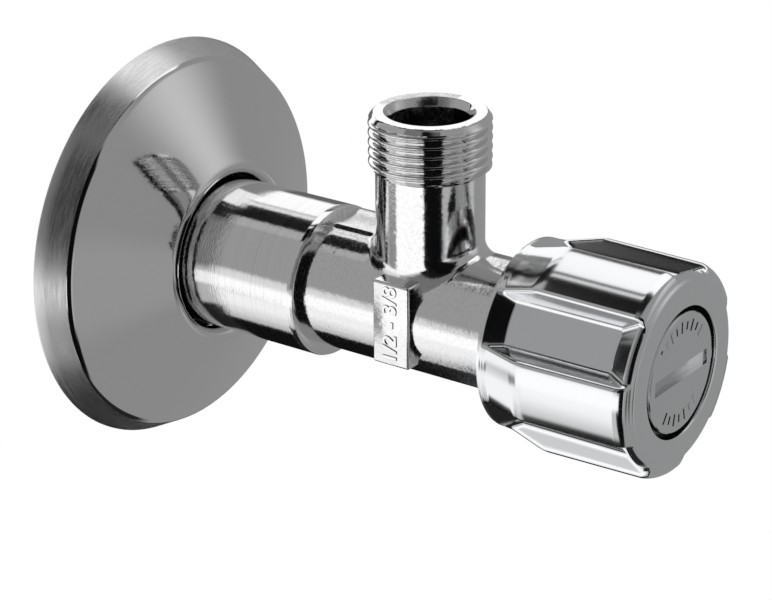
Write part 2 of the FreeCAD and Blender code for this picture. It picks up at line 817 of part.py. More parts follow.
def build_spindle():
    body = new_body("spindle")
    journal = at.journal
    groove = journal - size.circlip_groove_depth
    back_groove = at.bonnet_front + size.circlip_clearance / 2
    back_groove_end = back_groove + size.circlip_thickness + size.circlip_clearance
    front_groove = at.web_front
    front_groove_end = front_groove + size.circlip_thickness + size.circlip_clearance
    revolve(body, "spindle_turning", [
        (at.spindle_tail, at.filter_way),
        (at.spindle_tail, at.spindle_thread),
        (at.collar_back, at.spindle_thread),
        (at.collar_back, at.piston),
        (at.collar_front, at.piston),
        (at.collar_front, journal),
        (back_groove, journal),
        (back_groove, groove),
        (back_groove_end, groove),
        (back_groove_end, journal),
        (front_groove, journal),
        (front_groove, groove),
        (front_groove_end, groove),
        (front_groove_end, journal),
        (at.spindle_front, journal),
        (at.spindle_front, at.filter_way),
    ])
    for name, side in (("upper_flat", 1), ("lower_flat", -1)):
        flat = new_sketch(body, "XZ_Plane", name + "_outline")
        near = (journal - size.drive_flat_depth) * side
        far = (journal + size.cut_margin) * side
        outline(flat, rectangle(at.drive_start, front_groove, near, far))
        extrude(body, name, flat, journal * 2, cut=True, both_ways=True)
    ring("thrust_washer", at.collar_front + size.thrust_clearance,
         at.skirt_end - size.thrust_clearance, journal + size.running_clearance,
         at.piston)
    gap = as_size(FULL_TURN) - size.circlip_opening
    half_clearance = size.circlip_clearance / 2
    for label, start in (("spindle_circlip", back_groove), ("knob_retaining_ring", front_groove)):
        ring_start = start + half_clearance
        ring(label, ring_start, ring_start + size.circlip_thickness, groove + size.running_clearance,
             at.journal + size.circlip_reach, angle=gap)


# Knob

def build_knob():
    body = new_body("knob")
    rim = at.knob_rim
    back_rim = at.knob_back_rim
    web_back = at.drive_start + size.running_clearance
    revolve(body, "knob_turning", [
        (at.knob_back, at.knob_cavity),
        (at.knob_back, back_rim),
        (at.knob_back + size.knob_back_rim_width, back_rim),
        (at.recess_start, at.knob_recess),
        (at.recess_end, at.knob_recess),
        (at.front_rim, rim),
        (at.knob_front, rim),
        (at.knob_front, at.plug_pocket),
        (at.web_front, at.plug_pocket),
        (at.web_front, 0),
        (web_back, 0),
        (web_back, at.knob_cavity),
    ])
    round_edges(body, "front_round", size.knob_front_round, is_rim(at.knob_front, rim))
    lobe = new_sketch(body, "YZ_Plane", "lobe_outline", {"z": at.lobe_start}, size.lobe_turn)
    build_lobe_outline(lobe)
    first_lobe = extrude(body, "lobe", lobe, at.lobe_end - at.lobe_start)
    round_pattern(body, "lobes", first_lobe, size.lobe_count)

    def is_lobe_edge(edge):
        box = edge.BoundBox
        long_edge = box.XLength > 10 and box.YLength < 0.01 and box.ZLength < 0.01
        distance = (box.YMin ** 2 + box.ZMin ** 2) ** 0.5
        return long_edge and abs(distance - at.lobe.value) < 0.05

    round_edges(body, "lobe_edges", size.lobe_edge_round, is_lobe_edge)
    outside = at.lobe + size.cut_margin
    slope_foot = back_rim + size.lobe_slope_foot
    crown_end = at.lobe - size.lobe_taper
    revolve(body, "lobe_slopes", [
        (at.knob_back, slope_foot),
        (at.slope_start, slope_foot),
        (at.slope_end, at.lobe),
        (at.lobe_end - size.lobe_front_chamfer, crown_end),
        (at.lobe_end, crown_end - size.lobe_front_chamfer),
        (at.lobe_end, outside),
        (at.knob_back, outside),
    ], cut=True)
    bore = new_sketch(body, "YZ_Plane", "drive_bore_outline", {"z": web_back})
    build_drive_bore_outline(bore)
    extrude(body, "drive_bore", bore, at.web_front - web_back, cut=True, backwards=True)


def build_lobe_outline(sketch):
    """A lobe that points up: parallel sides under an arc about the knob's axis."""
    half = size.lobe_width / 2
    foot = at.knob_cavity
    radius = at.lobe
    top = (radius.value ** 2 - half.value ** 2) ** 0.5
    circle = Part.Circle(vector(0, 0), vector(0, 0, 1), radius.value)
    start_turn = math.atan2(top, half.value)
    sketch.addGeometry(Part.LineSegment(vector(-half.value, foot.value), vector(half.value, foot.value)), False)
    sketch.addGeometry(Part.LineSegment(vector(half.value, foot.value), vector(half.value, top)), False)
    sketch.addGeometry(Part.ArcOfCircle(circle, start_turn, math.pi - start_turn), False)
    sketch.addGeometry(Part.LineSegment(vector(-half.value, top), vector(-half.value, foot.value)), False)
    sketch.addConstraint(Sketcher.Constraint("Coincident", 0, 2, 1, 1))
    sketch.addConstraint(Sketcher.Constraint("Coincident", 1, 2, 2, 1))
    sketch.addConstraint(Sketcher.Constraint("Coincident", 2, 2, 3, 1))
    sketch.addConstraint(Sketcher.Constraint("Coincident", 3, 2, 0, 1))
    sketch.addConstraint(Sketcher.Constraint("Coincident", 2, 3, -1, 1))
    sketch.addConstraint(Sketcher.Constraint("Vertical", 1))
    sketch.addConstraint(Sketcher.Constraint("Vertical", 3))
    hold(sketch, "DistanceX", -1, 1, 0, 1, -half)
    hold(sketch, "DistanceX", -1, 1, 0, 2, half)
    hold(sketch, "DistanceY", -1, 1, 0, 1, foot)
    hold(sketch, "DistanceY", -1, 1, 0, 2, foot)
    number = sketch.addConstraint(Sketcher.Constraint("Radius", 2, radius.value))
    sketch.setExpression("Constraints[" + str(number) + "]", radius.text)


def build_drive_bore_outline(sketch):
    """The hole with two flats that the spindle drives."""
    radius = at.journal_bore
    half = at.journal - size.drive_flat_depth + size.running_clearance
    reach = (radius.value ** 2 - half.value ** 2) ** 0.5
    turn = math.atan2(half.value, reach)
    circle = Part.Circle(vector(0, 0), vector(0, 0, 1), radius.value)
    sketch.addGeometry(Part.LineSegment(vector(reach, half.value), vector(-reach, half.value)), False)
    sketch.addGeometry(Part.ArcOfCircle(circle, math.pi - turn, math.pi + turn), False)
    sketch.addGeometry(Part.LineSegment(vector(-reach, -half.value), vector(reach, -half.value)), False)
    sketch.addGeometry(Part.ArcOfCircle(circle, -turn, turn), False)
    sketch.addConstraint(Sketcher.Constraint("Coincident", 0, 2, 1, 1))
    sketch.addConstraint(Sketcher.Constraint("Coincident", 1, 2, 2, 1))
    sketch.addConstraint(Sketcher.Constraint("Coincident", 2, 2, 3, 1))
    sketch.addConstraint(Sketcher.Constraint("Coincident", 3, 2, 0, 1))
    sketch.addConstraint(Sketcher.Constraint("Coincident", 1, 3, -1, 1))
    sketch.addConstraint(Sketcher.Constraint("Coincident", 3, 3, -1, 1))
    sketch.addConstraint(Sketcher.Constraint("Horizontal", 0))
    sketch.addConstraint(Sketcher.Constraint("Horizontal", 2))
    hold(sketch, "DistanceY", -1, 1, 0, 1, half)
    hold(sketch, "DistanceY", -1, 1, 2, 1, -half)
    number = sketch.addConstraint(Sketcher.Constraint("Radius", 1, radius.value))
    sketch.setExpression("Constraints[" + str(number) + "]", radius.text)


# Plug and filter

def build_plug():
    body = new_body("filter_plug")
    face = at.plug_face
    chamfer = size.plug_edge_chamfer
    skirt_bore = at.journal_bore
    skirt = skirt_bore + size.plug_skirt_wall
    revolve(body, "plug_turning", [
        (at.plug_back, 0),
        (at.plug_back, skirt_bore),
        (at.plug_skirt, skirt_bore),
        (at.plug_skirt, skirt),
        (at.plug_back, skirt),
        (at.plug_back, at.plug),
        (face - chamfer, at.plug),
        (face, at.plug - chamfer),
        (face, 0),
    ])
    slot = new_sketch(body, "XZ_Plane", "coin_slot_outline")
    half = size.plug_slot_width / 2
    outline(slot, rectangle(face - size.plug_slot_depth, face, -half, half))
    extrude(body, "coin_slot", slot, size.plug_slot_length, cut=True, both_ways=True)
    gap = (at.plug_back - at.spindle_front) / 2
    wall = (at.filter_way + at.journal) / 2
    round_ring("plug_o_ring", at.spindle_front + gap, wall, size.plug_ring_section)


def build_filter():
    body = new_body("filter_frame")
    collar = at.filter_way - size.filter_collar_clearance
    groove = at.filter_way - size.running_clearance - size.filter_ring_section * 2
    half_groove = size.filter_ring_groove_width / 2
    ring_place = at.filter_ring
    revolve(body, "filter_collar", [
        (at.filter_start, at.filter_collar_bore),
        (at.filter_start, collar),
        (ring_place - half_groove, collar),
        (ring_place - half_groove, groove),
        (ring_place + half_groove, groove),
        (ring_place + half_groove, collar),
        (at.filter_collar_end, collar),
        (at.filter_collar_end, at.filter_collar_bore),
    ])
    rib = new_sketch(body, "XZ_Plane", "rib_outline")
    mesh_bore = at.filter_mesh - size.filter_mesh_wall
    rib_top = mesh_bore - size.running_clearance
    rib_foot = at.filter_collar_bore + size.running_clearance
    outline(rib, [
        (ring_place, 0),
        (ring_place, rib_foot),
        (at.filter_collar_end, rib_foot),
        (at.filter_collar_end, rib_top),
        (at.filter_mesh_end, rib_top),
        (at.filter_mesh_end, 0),
    ])
    first_rib = extrude(body, "rib", rib, size.filter_rib_width, both_ways=True)
    round_pattern(body, "ribs", first_rib, size.filter_rib_count)
    cap_front = at.filter_mesh_end + size.filter_cap_thickness
    head_back = at.plug_back - size.filter_head_length
    head_front = at.plug_back - size.filter_head_clearance
    cap = at.filter_way - size.filter_cap_gap
    head = at.filter_way - size.filter_head_gap
    revolve(body, "filter_stem", [
        (ring_place, 0),
        (ring_place, size.filter_stem_radius),
        (at.filter_mesh_end, size.filter_stem_radius),
        (at.filter_mesh_end, cap),
        (cap_front, cap),
        (cap_front, size.filter_stem_radius),
        (head_back, size.filter_stem_radius),
        (head_back, head),
        (head_front, head),
        (head_front, 0),
    ])
    ring("filter_mesh", at.filter_collar_end, at.filter_mesh_end, mesh_bore, at.filter_mesh)
    round_ring("filter_o_ring", ring_place, groove + size.filter_ring_section, size.filter_ring_section)


def check_document():
    """Stops on any failed object, and on any sub-part whose shape is missing or invalid."""
    for item in doc.Objects:
        if "Invalid" in item.State or "Error" in item.State:
            raise RuntimeError("failed object: " + item.Label)
    for part in PARTS:
        shape = part.Shape
        if shape.isNull() or not shape.isValid() or len(shape.Solids) != 1:
            raise RuntimeError("bad shape: " + part.Label)


def export_parts():
    os.makedirs("parts", exist_ok=True)
    for part in PARTS:
        part.Shape.exportStep("parts/" + part.Label + ".step")
        print(part.Label, round(part.Shape.Volume, 2))


build_valve_body()
build_rosette()
build_inlet_seal()
build_bonnet()
build_piston()
build_spindle()
build_knob()
build_plug()
build_filter()
doc.recompute()
check_document()
export_parts()
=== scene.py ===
import logging
import math
from dataclasses import dataclass, field
from enum import Enum
from typing import Callable, Sequence

import bmesh
import bpy
import numpy as np
from bmesh.types import BMEdge, BMesh, BMVert
from mathutils import Matrix, Vector


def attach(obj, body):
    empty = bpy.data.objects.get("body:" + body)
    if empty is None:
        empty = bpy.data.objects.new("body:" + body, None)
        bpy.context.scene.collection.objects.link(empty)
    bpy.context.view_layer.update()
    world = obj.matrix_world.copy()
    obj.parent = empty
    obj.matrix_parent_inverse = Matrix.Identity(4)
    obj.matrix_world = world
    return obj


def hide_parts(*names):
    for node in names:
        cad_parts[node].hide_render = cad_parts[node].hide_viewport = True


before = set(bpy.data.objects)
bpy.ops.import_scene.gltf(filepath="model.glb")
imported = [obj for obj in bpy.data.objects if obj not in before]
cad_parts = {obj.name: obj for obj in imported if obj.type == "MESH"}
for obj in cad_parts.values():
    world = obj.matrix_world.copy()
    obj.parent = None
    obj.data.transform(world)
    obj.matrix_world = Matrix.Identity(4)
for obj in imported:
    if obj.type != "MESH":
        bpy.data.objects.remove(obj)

logging.basicConfig(level=logging.INFO, format="%(message)s")
log = logging.getLogger("angle_valve")

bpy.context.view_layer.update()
MM = 0.001
TAU = math.tau
SECTORS = 8
WELD = 1e-4
ON_AXIS = 0.0001

Field = Callable[[np.ndarray], np.ndarray]
Inputs = dict[int | str, object]


class Axis(Enum):
    """The two lines that the valve is turned about."""

    INLET = "inlet"
    BRANCH = "branch"


@dataclass(frozen=True)
class Corner:
    """A corner of a turned outline: its place along the axis, its radius, and how far it is rounded."""

    along: float
    out: float
    rounding: float = 0.0


@dataclass(frozen=True)
class Lathe:
    """Turns outlines about one of the valve's two axes, in millimetres."""

    axis: Axis = Axis.INLET
    branch_place: float = 46.2
    arc_steps_per_mm: int = 8
    fewest_arc_steps: int = 2
    most_arc_steps: int = 14

    def point(self, corner: Corner) -> Vector:
        """Where a corner of an outline lies before it is turned.

        Args:
            corner: A corner of the outline.

        Returns:
            Its place in millimetres.
        """
        if self.axis is Axis.INLET:
            return Vector((corner.along, 0.0, corner.out))
        return Vector((self.branch_place + corner.out, 0.0, corner.along))

    @property
    def direction(self) -> Vector:
        """The direction of the axis."""
        return Vector((1, 0, 0)) if self.axis is Axis.INLET else Vector((0, 0, 1))

    @property
    def centre(self) -> Vector:
        """A point on the axis."""
        return Vector((0, 0, 0)) if self.axis is Axis.INLET else Vector((self.branch_place, 0, 0))

    def turn(self, corners: Sequence[Corner], steps: int = 192, longest: float = 0.0,
             finer: Callable[[float, float], float] | None = None) -> BMesh:
        """Spins a closed outline into a solid, an eighth at a time.

        Args:
            corners: The outline, in order.
            steps: How many steps the turn has, a multiple of eight.
            longest: The longest edge that is left along the outline, or 0 to leave them all.
            finer: Gives a shorter longest edge by its place along and its distance out.

        Returns:
            The turned mesh.
        """
        bm = bmesh.new()
        points = [bm.verts.new(self.point(corner)) for corner in corners]
        bm.faces.new(points)
        for index, corner in enumerate(corners):
            if corner.rounding > 0:
                self.round_corner(bm, corners, index)
        bmesh.ops.delete(bm, geom=list(bm.faces), context="FACES_ONLY")
        if longest > 0:
            divide_edges(bm, lambda middle: longest)
        if finer:
            divide_edges(bm, lambda middle: finer(*self.outline_place(middle)))
        bmesh.ops.spin(
            bm, geom=everything(bm), cent=self.centre, axis=self.direction,
            angle=TAU / SECTORS, steps=steps // SECTORS,
        )
        sector = everything(bm)
        for index in range(1, SECTORS):
            verts = only(bmesh.ops.duplicate(bm, geom=sector)["geom"], BMVert)
            turned = Matrix.Rotation(index * TAU / SECTORS, 3, self.direction)
            bmesh.ops.rotate(bm, verts=verts, cent=self.centre, matrix=turned)
        bmesh.ops.remove_doubles(bm, verts=list(bm.verts), dist=WELD)
        bmesh.ops.recalc_face_normals(bm, faces=list(bm.faces))
        return bm

    def outline_place(self, point: Vector) -> tuple[float, float]:
        """The place along the axis and the distance out of a point of the outline.

        Args:
            point: A point of the outline.

        Returns:
            Place along the axis, distance out.
        """
        if self.axis is Axis.INLET:
            return point.x, point.z
        return point.z, point.x - self.branch_place

    def round_corner(self, bm: BMesh, corners: Sequence[Corner], index: int) -> None:
        """Rounds one corner of the outline with an arc of its own radius.

        Args:
            bm: The mesh.
            corners: The outline, in order.
            index: Which corner of the outline it is.
        """
        corner = corners[index]
        here = self.point(corner)
        first = (self.point(corners[index - 1]) - here).normalized()
        second = (self.point(corners[(index + 1) % len(corners)]) - here).normalized()
        reach = corner.rounding / math.tan(first.angle(second) / 2)
        vert = min(bm.verts, key=lambda v: (v.co - here).length)
        steps = round(corner.rounding * self.arc_steps_per_mm)
        bmesh.ops.bevel(
            bm, geom=[vert], offset=reach, offset_type="OFFSET",
            segments=max(self.fewest_arc_steps, min(self.most_arc_steps, steps)), profile=0.5,
            affect="VERTICES", material=-1, clamp_overlap=True,
        )

    def polar(self, points: np.ndarray) -> tuple[np.ndarray, np.ndarray, np.ndarray]:
        """Places along the axis, distances from it and angles round it, in radians.

        Args:
            points: Places in millimetres, one a row.

        Returns:
            Along, distance and angle, one array each.
        """
        x, y, z = points.T
        if self.axis is Axis.INLET:
            return x, np.hypot(y, z), np.arctan2(z, y)
        across = x - self.branch_place
        return z, np.hypot(across, y), np.arctan2(y, across)

    def set_radius(self, bm: BMesh, points: np.ndarray, target: np.ndarray) -> None:
        """Moves all vertices straight out from the axis to new distances.

        Args:
            bm: The mesh.
            points: Places in millimetres, one a row.
            target: The new distance of each.
        """
        factor = target / np.maximum(self.polar(points)[1], 1e-6)
        points[:, 1] *= factor
        if self.axis is Axis.INLET:
            points[:, 2] *= factor
        else:
            points[:, 0] = self.branch_place + (points[:, 0] - self.branch_place) * factor
        write_points(bm, points)


def everything(bm: BMesh) -> list[object]:
    """All that a mesh consists of."""
    return [*bm.verts, *bm.edges, *bm.faces]


def only(items: Sequence[object], kind: type) -> list[object]:
    """The items of one kind."""
    return [item for item in items if isinstance(item, kind)]


def trim(bm: BMesh, place: Sequence[float], normal: Sequence[float]) -> list[BMEdge]:
    """Cuts off what lies beyond a plane, and returns the edges of the cut.

    Args:
        bm: The mesh.
        place: A point of the plane.
        normal: The side of the plane that is cut off.

    Returns:
        The edges of the cut.
    """
    cut = bmesh.ops.bisect_plane(
        bm, geom=everything(bm), plane_co=place, plane_no=normal, clear_outer=True
    )
    return only(cut["geom_cut"], BMEdge)


def link_object(name: str, data: bpy.types.ID) -> bpy.types.Object:
    """Puts new data into the scene as an object.

    Args:
        name: The object's name.
        data: The data that it shows.

    Returns:
        The object.
    """
    item = bpy.data.objects.new(name, data)
    bpy.context.scene.collection.objects.link(item)
    return item


def mesh_object(name: str, bm: BMesh) -> bpy.types.Object:
    """Turns a mesh, which it uses up, into an object of the scene.

    Args:
        name: The object's name.
        bm: The mesh, which is freed.

    Returns:
        The object.
    """
    mesh = bpy.data.meshes.new(name)
    bm.to_mesh(mesh)
    bm.free()
    return link_object(name, mesh)


def take_result(item: bpy.types.Object, *helpers: bpy.types.Object) -> BMesh:
    """Reads an object as its modifiers leave it, and removes it and its helpers.

    Args:
        item: The object.
        helpers: Other objects that its modifiers use.

    Returns:
        The finished mesh.
    """
    graph = bpy.context.evaluated_depsgraph_get()
    mesh = bpy.data.meshes.new_from_object(item.evaluated_get(graph))
    result = bmesh.new()
    result.from_mesh(mesh)
    bpy.data.meshes.remove(mesh)
    for used in (item, *helpers):
        data = used.data
        bpy.data.objects.remove(used)
        kept_in = bpy.data.meshes if isinstance(data, bpy.types.Mesh) else bpy.data.curves
        kept_in.remove(data)
    return result


def divide_edges(bm: BMesh, gap: Callable[[Vector], float]) -> None:
    """Cuts every edge into pieces no longer than what is wanted at its middle.

    Args:
        bm: The mesh.
        gap: Gives the longest edge by its middle.
    """
    groups: dict[int, list[BMEdge]] = {}
    for edge in bm.edges:
        middle = (edge.verts[0].co + edge.verts[1].co) / 2
        cuts = math.ceil(edge.calc_length() / gap(middle)) - 1
        if cuts > 0:
            groups.setdefault(cuts, []).append(edge)
    for cuts, edges in groups.items():
        bmesh.ops.subdivide_edges(bm, edges=edges, cuts=cuts)


def read_points(bm: BMesh) -> np.ndarray:
    """The places of all vertices."""
    return np.array([vert.co[:] for vert in bm.verts])


def write_points(bm: BMesh, points: np.ndarray) -> None:
    """Moves all vertices to new places."""
    for vert, point in zip(bm.verts, points):
        vert.co = point


def round_union(first: np.ndarray, second: np.ndarray, radius: float) -> np.ndarray:
    """The distance to two joined forms with a fillet between them."""
    reach = np.hypot(np.maximum(radius - first, 0), np.maximum(radius - second, 0))
    return np.maximum(radius, np.minimum(first, second)) - reach


def round_common(radius: float, *forms: np.ndarray) -> np.ndarray:
    """The distance to what several forms share, with its edges rounded."""
    reach = np.sqrt(sum(np.maximum(radius + form, 0) ** 2 for form in forms))
    return np.minimum(-radius, np.maximum.reduce(forms)) + reach


def slope_of(form: Field, points: np.ndarray, step: float = 1e-3) -> np.ndarray:
    """The gradient of a form at some points.

    Args:
        form: Gives the distance to a surface.
        points: Places in millimetres, one a row.
        step: How far from each point the form is read.

    Returns:
        The slope at each point.
    """
    slope = np.empty_like(points)
    for axis in range(3):
        shift = np.zeros(3)
        shift[axis] = step
        slope[:, axis] = (form(points + shift) - form(points - shift)) / (2 * step)
    return slope


def settle_on(form: Field, points: np.ndarray, rounds: int = 8, least_slope: float = 0.05,
              longest_step: float = 0.3) -> np.ndarray:
    """Moves points along the slope of a form until they lie on its surface.

    Args:
        form: Gives the distance to a surface.
        points: Places in millimetres, one a row.
        rounds: How often the points are moved.
        least_slope: The least slope squared that a step is divided by.
        longest_step: The longest move in one round.

    Returns:
        The moved points.
    """
    for _ in range(rounds):
        slope = slope_of(form, points)
        size = np.maximum((slope**2).sum(axis=1), least_slope)
        step = (form(points) / size)[:, None] * slope
        points = points - np.clip(step, -longest_step, longest_step)
    return points


def thread_wave(phase: np.ndarray, squareness: float = 1.5) -> np.ndarray:
    """The height of a plated thread from root 0 to crest 1, by its phase in turns."""
    wave = np.cos(TAU * phase)
    return 0.5 + 0.5 * np.tanh(squareness * wave) / math.tanh(squareness)


@dataclass
class Piece:
    """One finished piece on its way into the scene."""

    name: str
    body: str
    slot: str
    stands_for: tuple[str, ...] = ()
    sharp_angle: float = 40.0
    parts: list[tuple[BMesh, bpy.types.Material]] = field(default_factory=list)

    def add(self, bm: BMesh, finish: "Finish") -> None:
        """Adds a mesh in millimetres and the finish that it gets."""
        self.parts.append((bm, finish.material()))

    def place(self) -> bpy.types.Object:
        """Joins the parts into one object that rides on its body.

        Returns:
            The placed piece.
        """
        mesh = bpy.data.meshes.new(self.name)
        whole = bmesh.new()
        for bm, material in self.parts:
            if material.name not in mesh.materials:
                mesh.materials.append(material)
            index = list(mesh.materials).index(material)
            for face in bm.faces:
                face.material_index = index
            part = bpy.data.meshes.new(self.name + "_part")
            bm.to_mesh(part)
            bm.free()
            whole.from_mesh(part)
            bpy.data.meshes.remove(part)
        bmesh.ops.scale(whole, vec=(MM, MM, MM), verts=list(whole.verts))
        for face in whole.faces:
            face.smooth = True
        whole.to_mesh(mesh)
        whole.free()
        mesh.set_sharp_from_angle(angle=math.radians(self.sharp_angle))
        piece = link_object(self.name, mesh)
        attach(piece, self.body)
        if self.stands_for:
            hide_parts(*self.stands_for)
        log.info("%s: %d faces", self.name, len(mesh.polygons))
        return piece


class Signal:
    """A shader value that can be used in plain arithmetic."""

    def __init__(self, graph: "Graph", socket: bpy.types.NodeSocket) -> None:
        """Wraps an output socket of a graph."""
        self.graph = graph
        self.socket = socket

    def work(self, operation: str, *values: object) -> "Signal":
        """Adds one Math node."""
        return self.graph.add("ShaderNodeMath", dict(enumerate(values)), operation=operation)[0]

    def __add__(self, other: object) -> "Signal":
        """This plus other."""
        return self.work("ADD", self, other)

    def __sub__(self, other: object) -> "Signal":
        """This minus other."""
        return self.work("SUBTRACT", self, other)

    def __rsub__(self, other: object) -> "Signal":
        """Other minus this."""
        return self.work("SUBTRACT", other, self)

    def __mul__(self, other: object) -> "Signal":
        """This times other."""
        return self.work("MULTIPLY", self, other)

    def step(self, start: float, end: float, low: float = 0.0, high: float = 1.0) -> "Signal":
        """Runs smoothly from low to high while this runs from start to end.

        Args:
            start: The value at which it begins to change.
            end: The value at which it ends.
            low: The result before that range.
            high: The result after it.

        Returns:
            The result as a signal.
        """
        return self.graph.add(
            "ShaderNodeMapRange",
            {"Value": self, "From Min": start, "From Max": end, "To Min": low, "To Max": high},
            interpolation_type="SMOOTHSTEP", clamp=True,
        )["Result"]


class Outputs:
    """The output sockets of a node, by name or number."""

    def __init__(self, graph: "Graph", node: bpy.types.Node) -> None:
        """Wraps a node of a graph."""
        self.graph = graph
        self.node = node

    def __getitem__(self, key: int | str) -> Signal:
        """One output as a signal."""
        return Signal(self.graph, self.node.outputs[key])


class Graph:
    """A node tree that is written node by node."""

    def __init__(self, tree: bpy.types.NodeTree) -> None:
        """Starts from an empty tree."""
        self.tree = tree
        tree.nodes.clear()

    def add(self, kind: str, inputs: Inputs | None = None, **settings: object) -> Outputs:
        """Adds a node.

        Args:
            kind: The node's type.
            inputs: Values or signals for its sockets.
            settings: Its own settings.

        Returns:
            The node's outputs.
        """
        node = self.tree.nodes.new(kind)
        for name, value in settings.items():
            setattr(node, name, value)
        for name, value in (inputs or {}).items():
            if isinstance(value, Signal):
                self.tree.links.new(value.socket, node.inputs[name])
            else:
                node.inputs[name].default_value = value
        return Outputs(self, node)

    def blend(self, base: object, over: object, share: object) -> Signal:
        """Mixes two colours."""
        return self.add("ShaderNodeMix", {0: share, 6: base, 7: over}, data_type="RGBA")[2]

    def stretch(self, vector: Signal, scale: tuple[float, float, float]) -> Signal:
        """Scales a vector along its axes."""
        return self.add("ShaderNodeMapping", {"Vector": vector, "Scale": scale})["Vector"]

    def noise(self, vector: Signal, scale: float, detail: float = 2.0, rough: float = 0.5) -> Signal:
        """Plain noise about one half."""
        inputs = {"Vector": vector, "Scale": scale, "Detail": detail, "Roughness": rough}
        return self.add("ShaderNodeTexNoise", inputs)["Fac"]

    def bump(self, height: Signal, distance: float) -> Signal:
        """A normal from a height of up to the distance in metres."""
        return self.add("ShaderNodeBump", {"Height": height, "Distance": distance})["Normal"]


def grey(level: float) -> tuple[float, float, float, float]:
    """A neutral colour."""
    return (level, level, level, 1.0)


@dataclass(frozen=True)
class Finish:
    """What all finishes share: a name, a colour and a gloss."""

    name: str
    colour: tuple[float, float, float] = (0.8, 0.8, 0.8)
    metallic: float = 1.0
    roughness: float = 0.05

    def material(self) -> bpy.types.Material:
        """Builds the material once, and finds it again after that.

        Returns:
            The material.
        """
        known = bpy.data.materials.get(self.name)
        if known:
            return known
        material = bpy.data.materials.new(self.name)
        material.use_nodes = True
        graph = Graph(material.node_tree)
        inputs: Inputs = {
            "Base Color": self.shade(), "Metallic": self.metallic, "Roughness": self.roughness,
        }
        inputs.update(self.surface(graph, graph.add("ShaderNodeTexCoord")["Object"]))
        shader = graph.add("ShaderNodeBsdfPrincipled", inputs)
        graph.add("ShaderNodeOutputMaterial", {"Surface": shader["BSDF"]})
        return material

    def shade(self, level: float = 1.0) -> tuple[float, ...]:
        """The colour, brought down to a level."""
        return (*(channel * level for channel in self.colour), 1.0)

    def surface(self, graph: Graph, place: Signal) -> Inputs:
        """The sockets that change over the surface, by the place on it in metres."""
        speck = graph.noise(place, 900.0, 3.0)
        return {"Roughness": speck * 0.04 + (self.roughness - 0.02)}


@dataclass(frozen=True)
class PolishedChrome(Finish):
    """Chrome on a polished surface, with a very slight waviness."""

    wave: float = 3e-6

    def surface(self, graph: Graph, place: Signal) -> Inputs:
        """Slow ripples and faint smears.

        Args:
            graph: The node tree that it adds to.
            place: The place on the surface, in metres.

        Returns:
            The shader's inputs.
        """
        ripple = graph.noise(place, 160.0, 1.0)
        smear = graph.noise(place, 420.0, 4.0)
        return {
            "Roughness": smear.step(0.45, 0.75, self.roughness, self.roughness + 0.02),
            "Normal": graph.bump(ripple, self.wave),
        }


@dataclass(frozen=True)
class TurnedChrome(Finish):
    """Chrome on a turned sleeve, with the fine rings that the tool left."""

    ring_pitch: float = 0.16
    ring_depth: float = 1.5e-6

    def surface(self, graph: Graph, place: Signal) -> Inputs:
        """Fine rings round the inlet axis.

        Args:
            graph: The node tree that it adds to.
            place: The place on the surface, in metres.

        Returns:
            The shader's inputs.
        """
        rings = graph.noise(graph.stretch(place, (1.0, 0.004, 0.004)), 1 / MM / self.ring_pitch, 2.0, 0.7)
        chatter = graph.noise(graph.stretch(place, (1.0, 0.35, 0.35)), 4200.0, 2.0)
        height = rings * 0.8 + chatter * 8.0
        return {
            "Base Color": graph.blend(self.shade(), grey(0.70), rings.step(0.50, 0.72)),
            "Roughness": rings.step(0.35, 0.75, self.roughness, self.roughness + 0.08),
            "Normal": graph.bump(height, self.ring_depth),
        }


@dataclass(frozen=True)
class CastChrome(Finish):
    """Chrome over a ground casting: slow lumps, fine grain and a few pits."""

    lump: float = 1.5e-5
    grain: float = 1.2e-5
    pit: float = 1.5e-5

    def surface(self, graph: Graph, place: Signal) -> Inputs:
        """Lumps, grain and pits.

        Args:
            graph: The node tree that it adds to.
            place: The place on the surface, in metres.

        Returns:
            The shader's inputs.
        """
        lumps = graph.noise(place, 330.0, 1.5)
        grain = graph.noise(place, 2300.0, 3.0)
        spots = graph.noise(place, 1150.0, 1.0).step(0.74, 0.84)
        height = lumps * self.lump + grain * self.grain - spots * self.pit
        rough = grain.step(0.3, 0.8, self.roughness, self.roughness + 0.08)
        return {
            "Base Color": graph.blend(self.shade(), grey(0.755), grain.step(0.45, 0.65)),
            "Roughness": rough + spots * 0.15,
            "Normal": graph.bump(height, 1.0),
        }


@dataclass(frozen=True)
class RawCast(Finish):
    """Chrome over an untouched cast skin."""

    sand: float = 6e-5

    def surface(self, graph: Graph, place: Signal) -> Inputs:
        """Coarse sandy grain.

        Args:
            graph: The node tree that it adds to.
            place: The place on the surface, in metres.

        Returns:
            The shader's inputs.
        """
        coarse = graph.noise(place, 900.0, 4.0, 0.65)
        return {
            "Roughness": coarse.step(0.3, 0.7, self.roughness, self.roughness + 0.15),
            "Normal": graph.bump(coarse * self.sand, 1.0),
        }


@dataclass(frozen=True)
class SatinRim(Finish):
    """The rosette's rim: satin, brushed round it."""

    def surface(self, graph: Graph, place: Signal) -> Inputs:
        """Soft brushing.

        Args:
            graph: The node tree that it adds to.
            place: The place on the surface, in metres.

        Returns:
            The shader's inputs.
        """
        brush = graph.noise(graph.stretch(place, (1.0, 0.06, 0.06)), 5200.0, 3.0, 0.6)
        cloud = graph.noise(place, 140.0, 2.0)
        return {
            "Base Color": graph.blend(self.shade(0.93), self.shade(), cloud.step(0.3, 0.7)),
            "Roughness": brush.step(0.3, 0.7, self.roughness - 0.05, self.roughness + 0.07),
            "Normal": graph.bump(brush, 1.2e-6),
        }


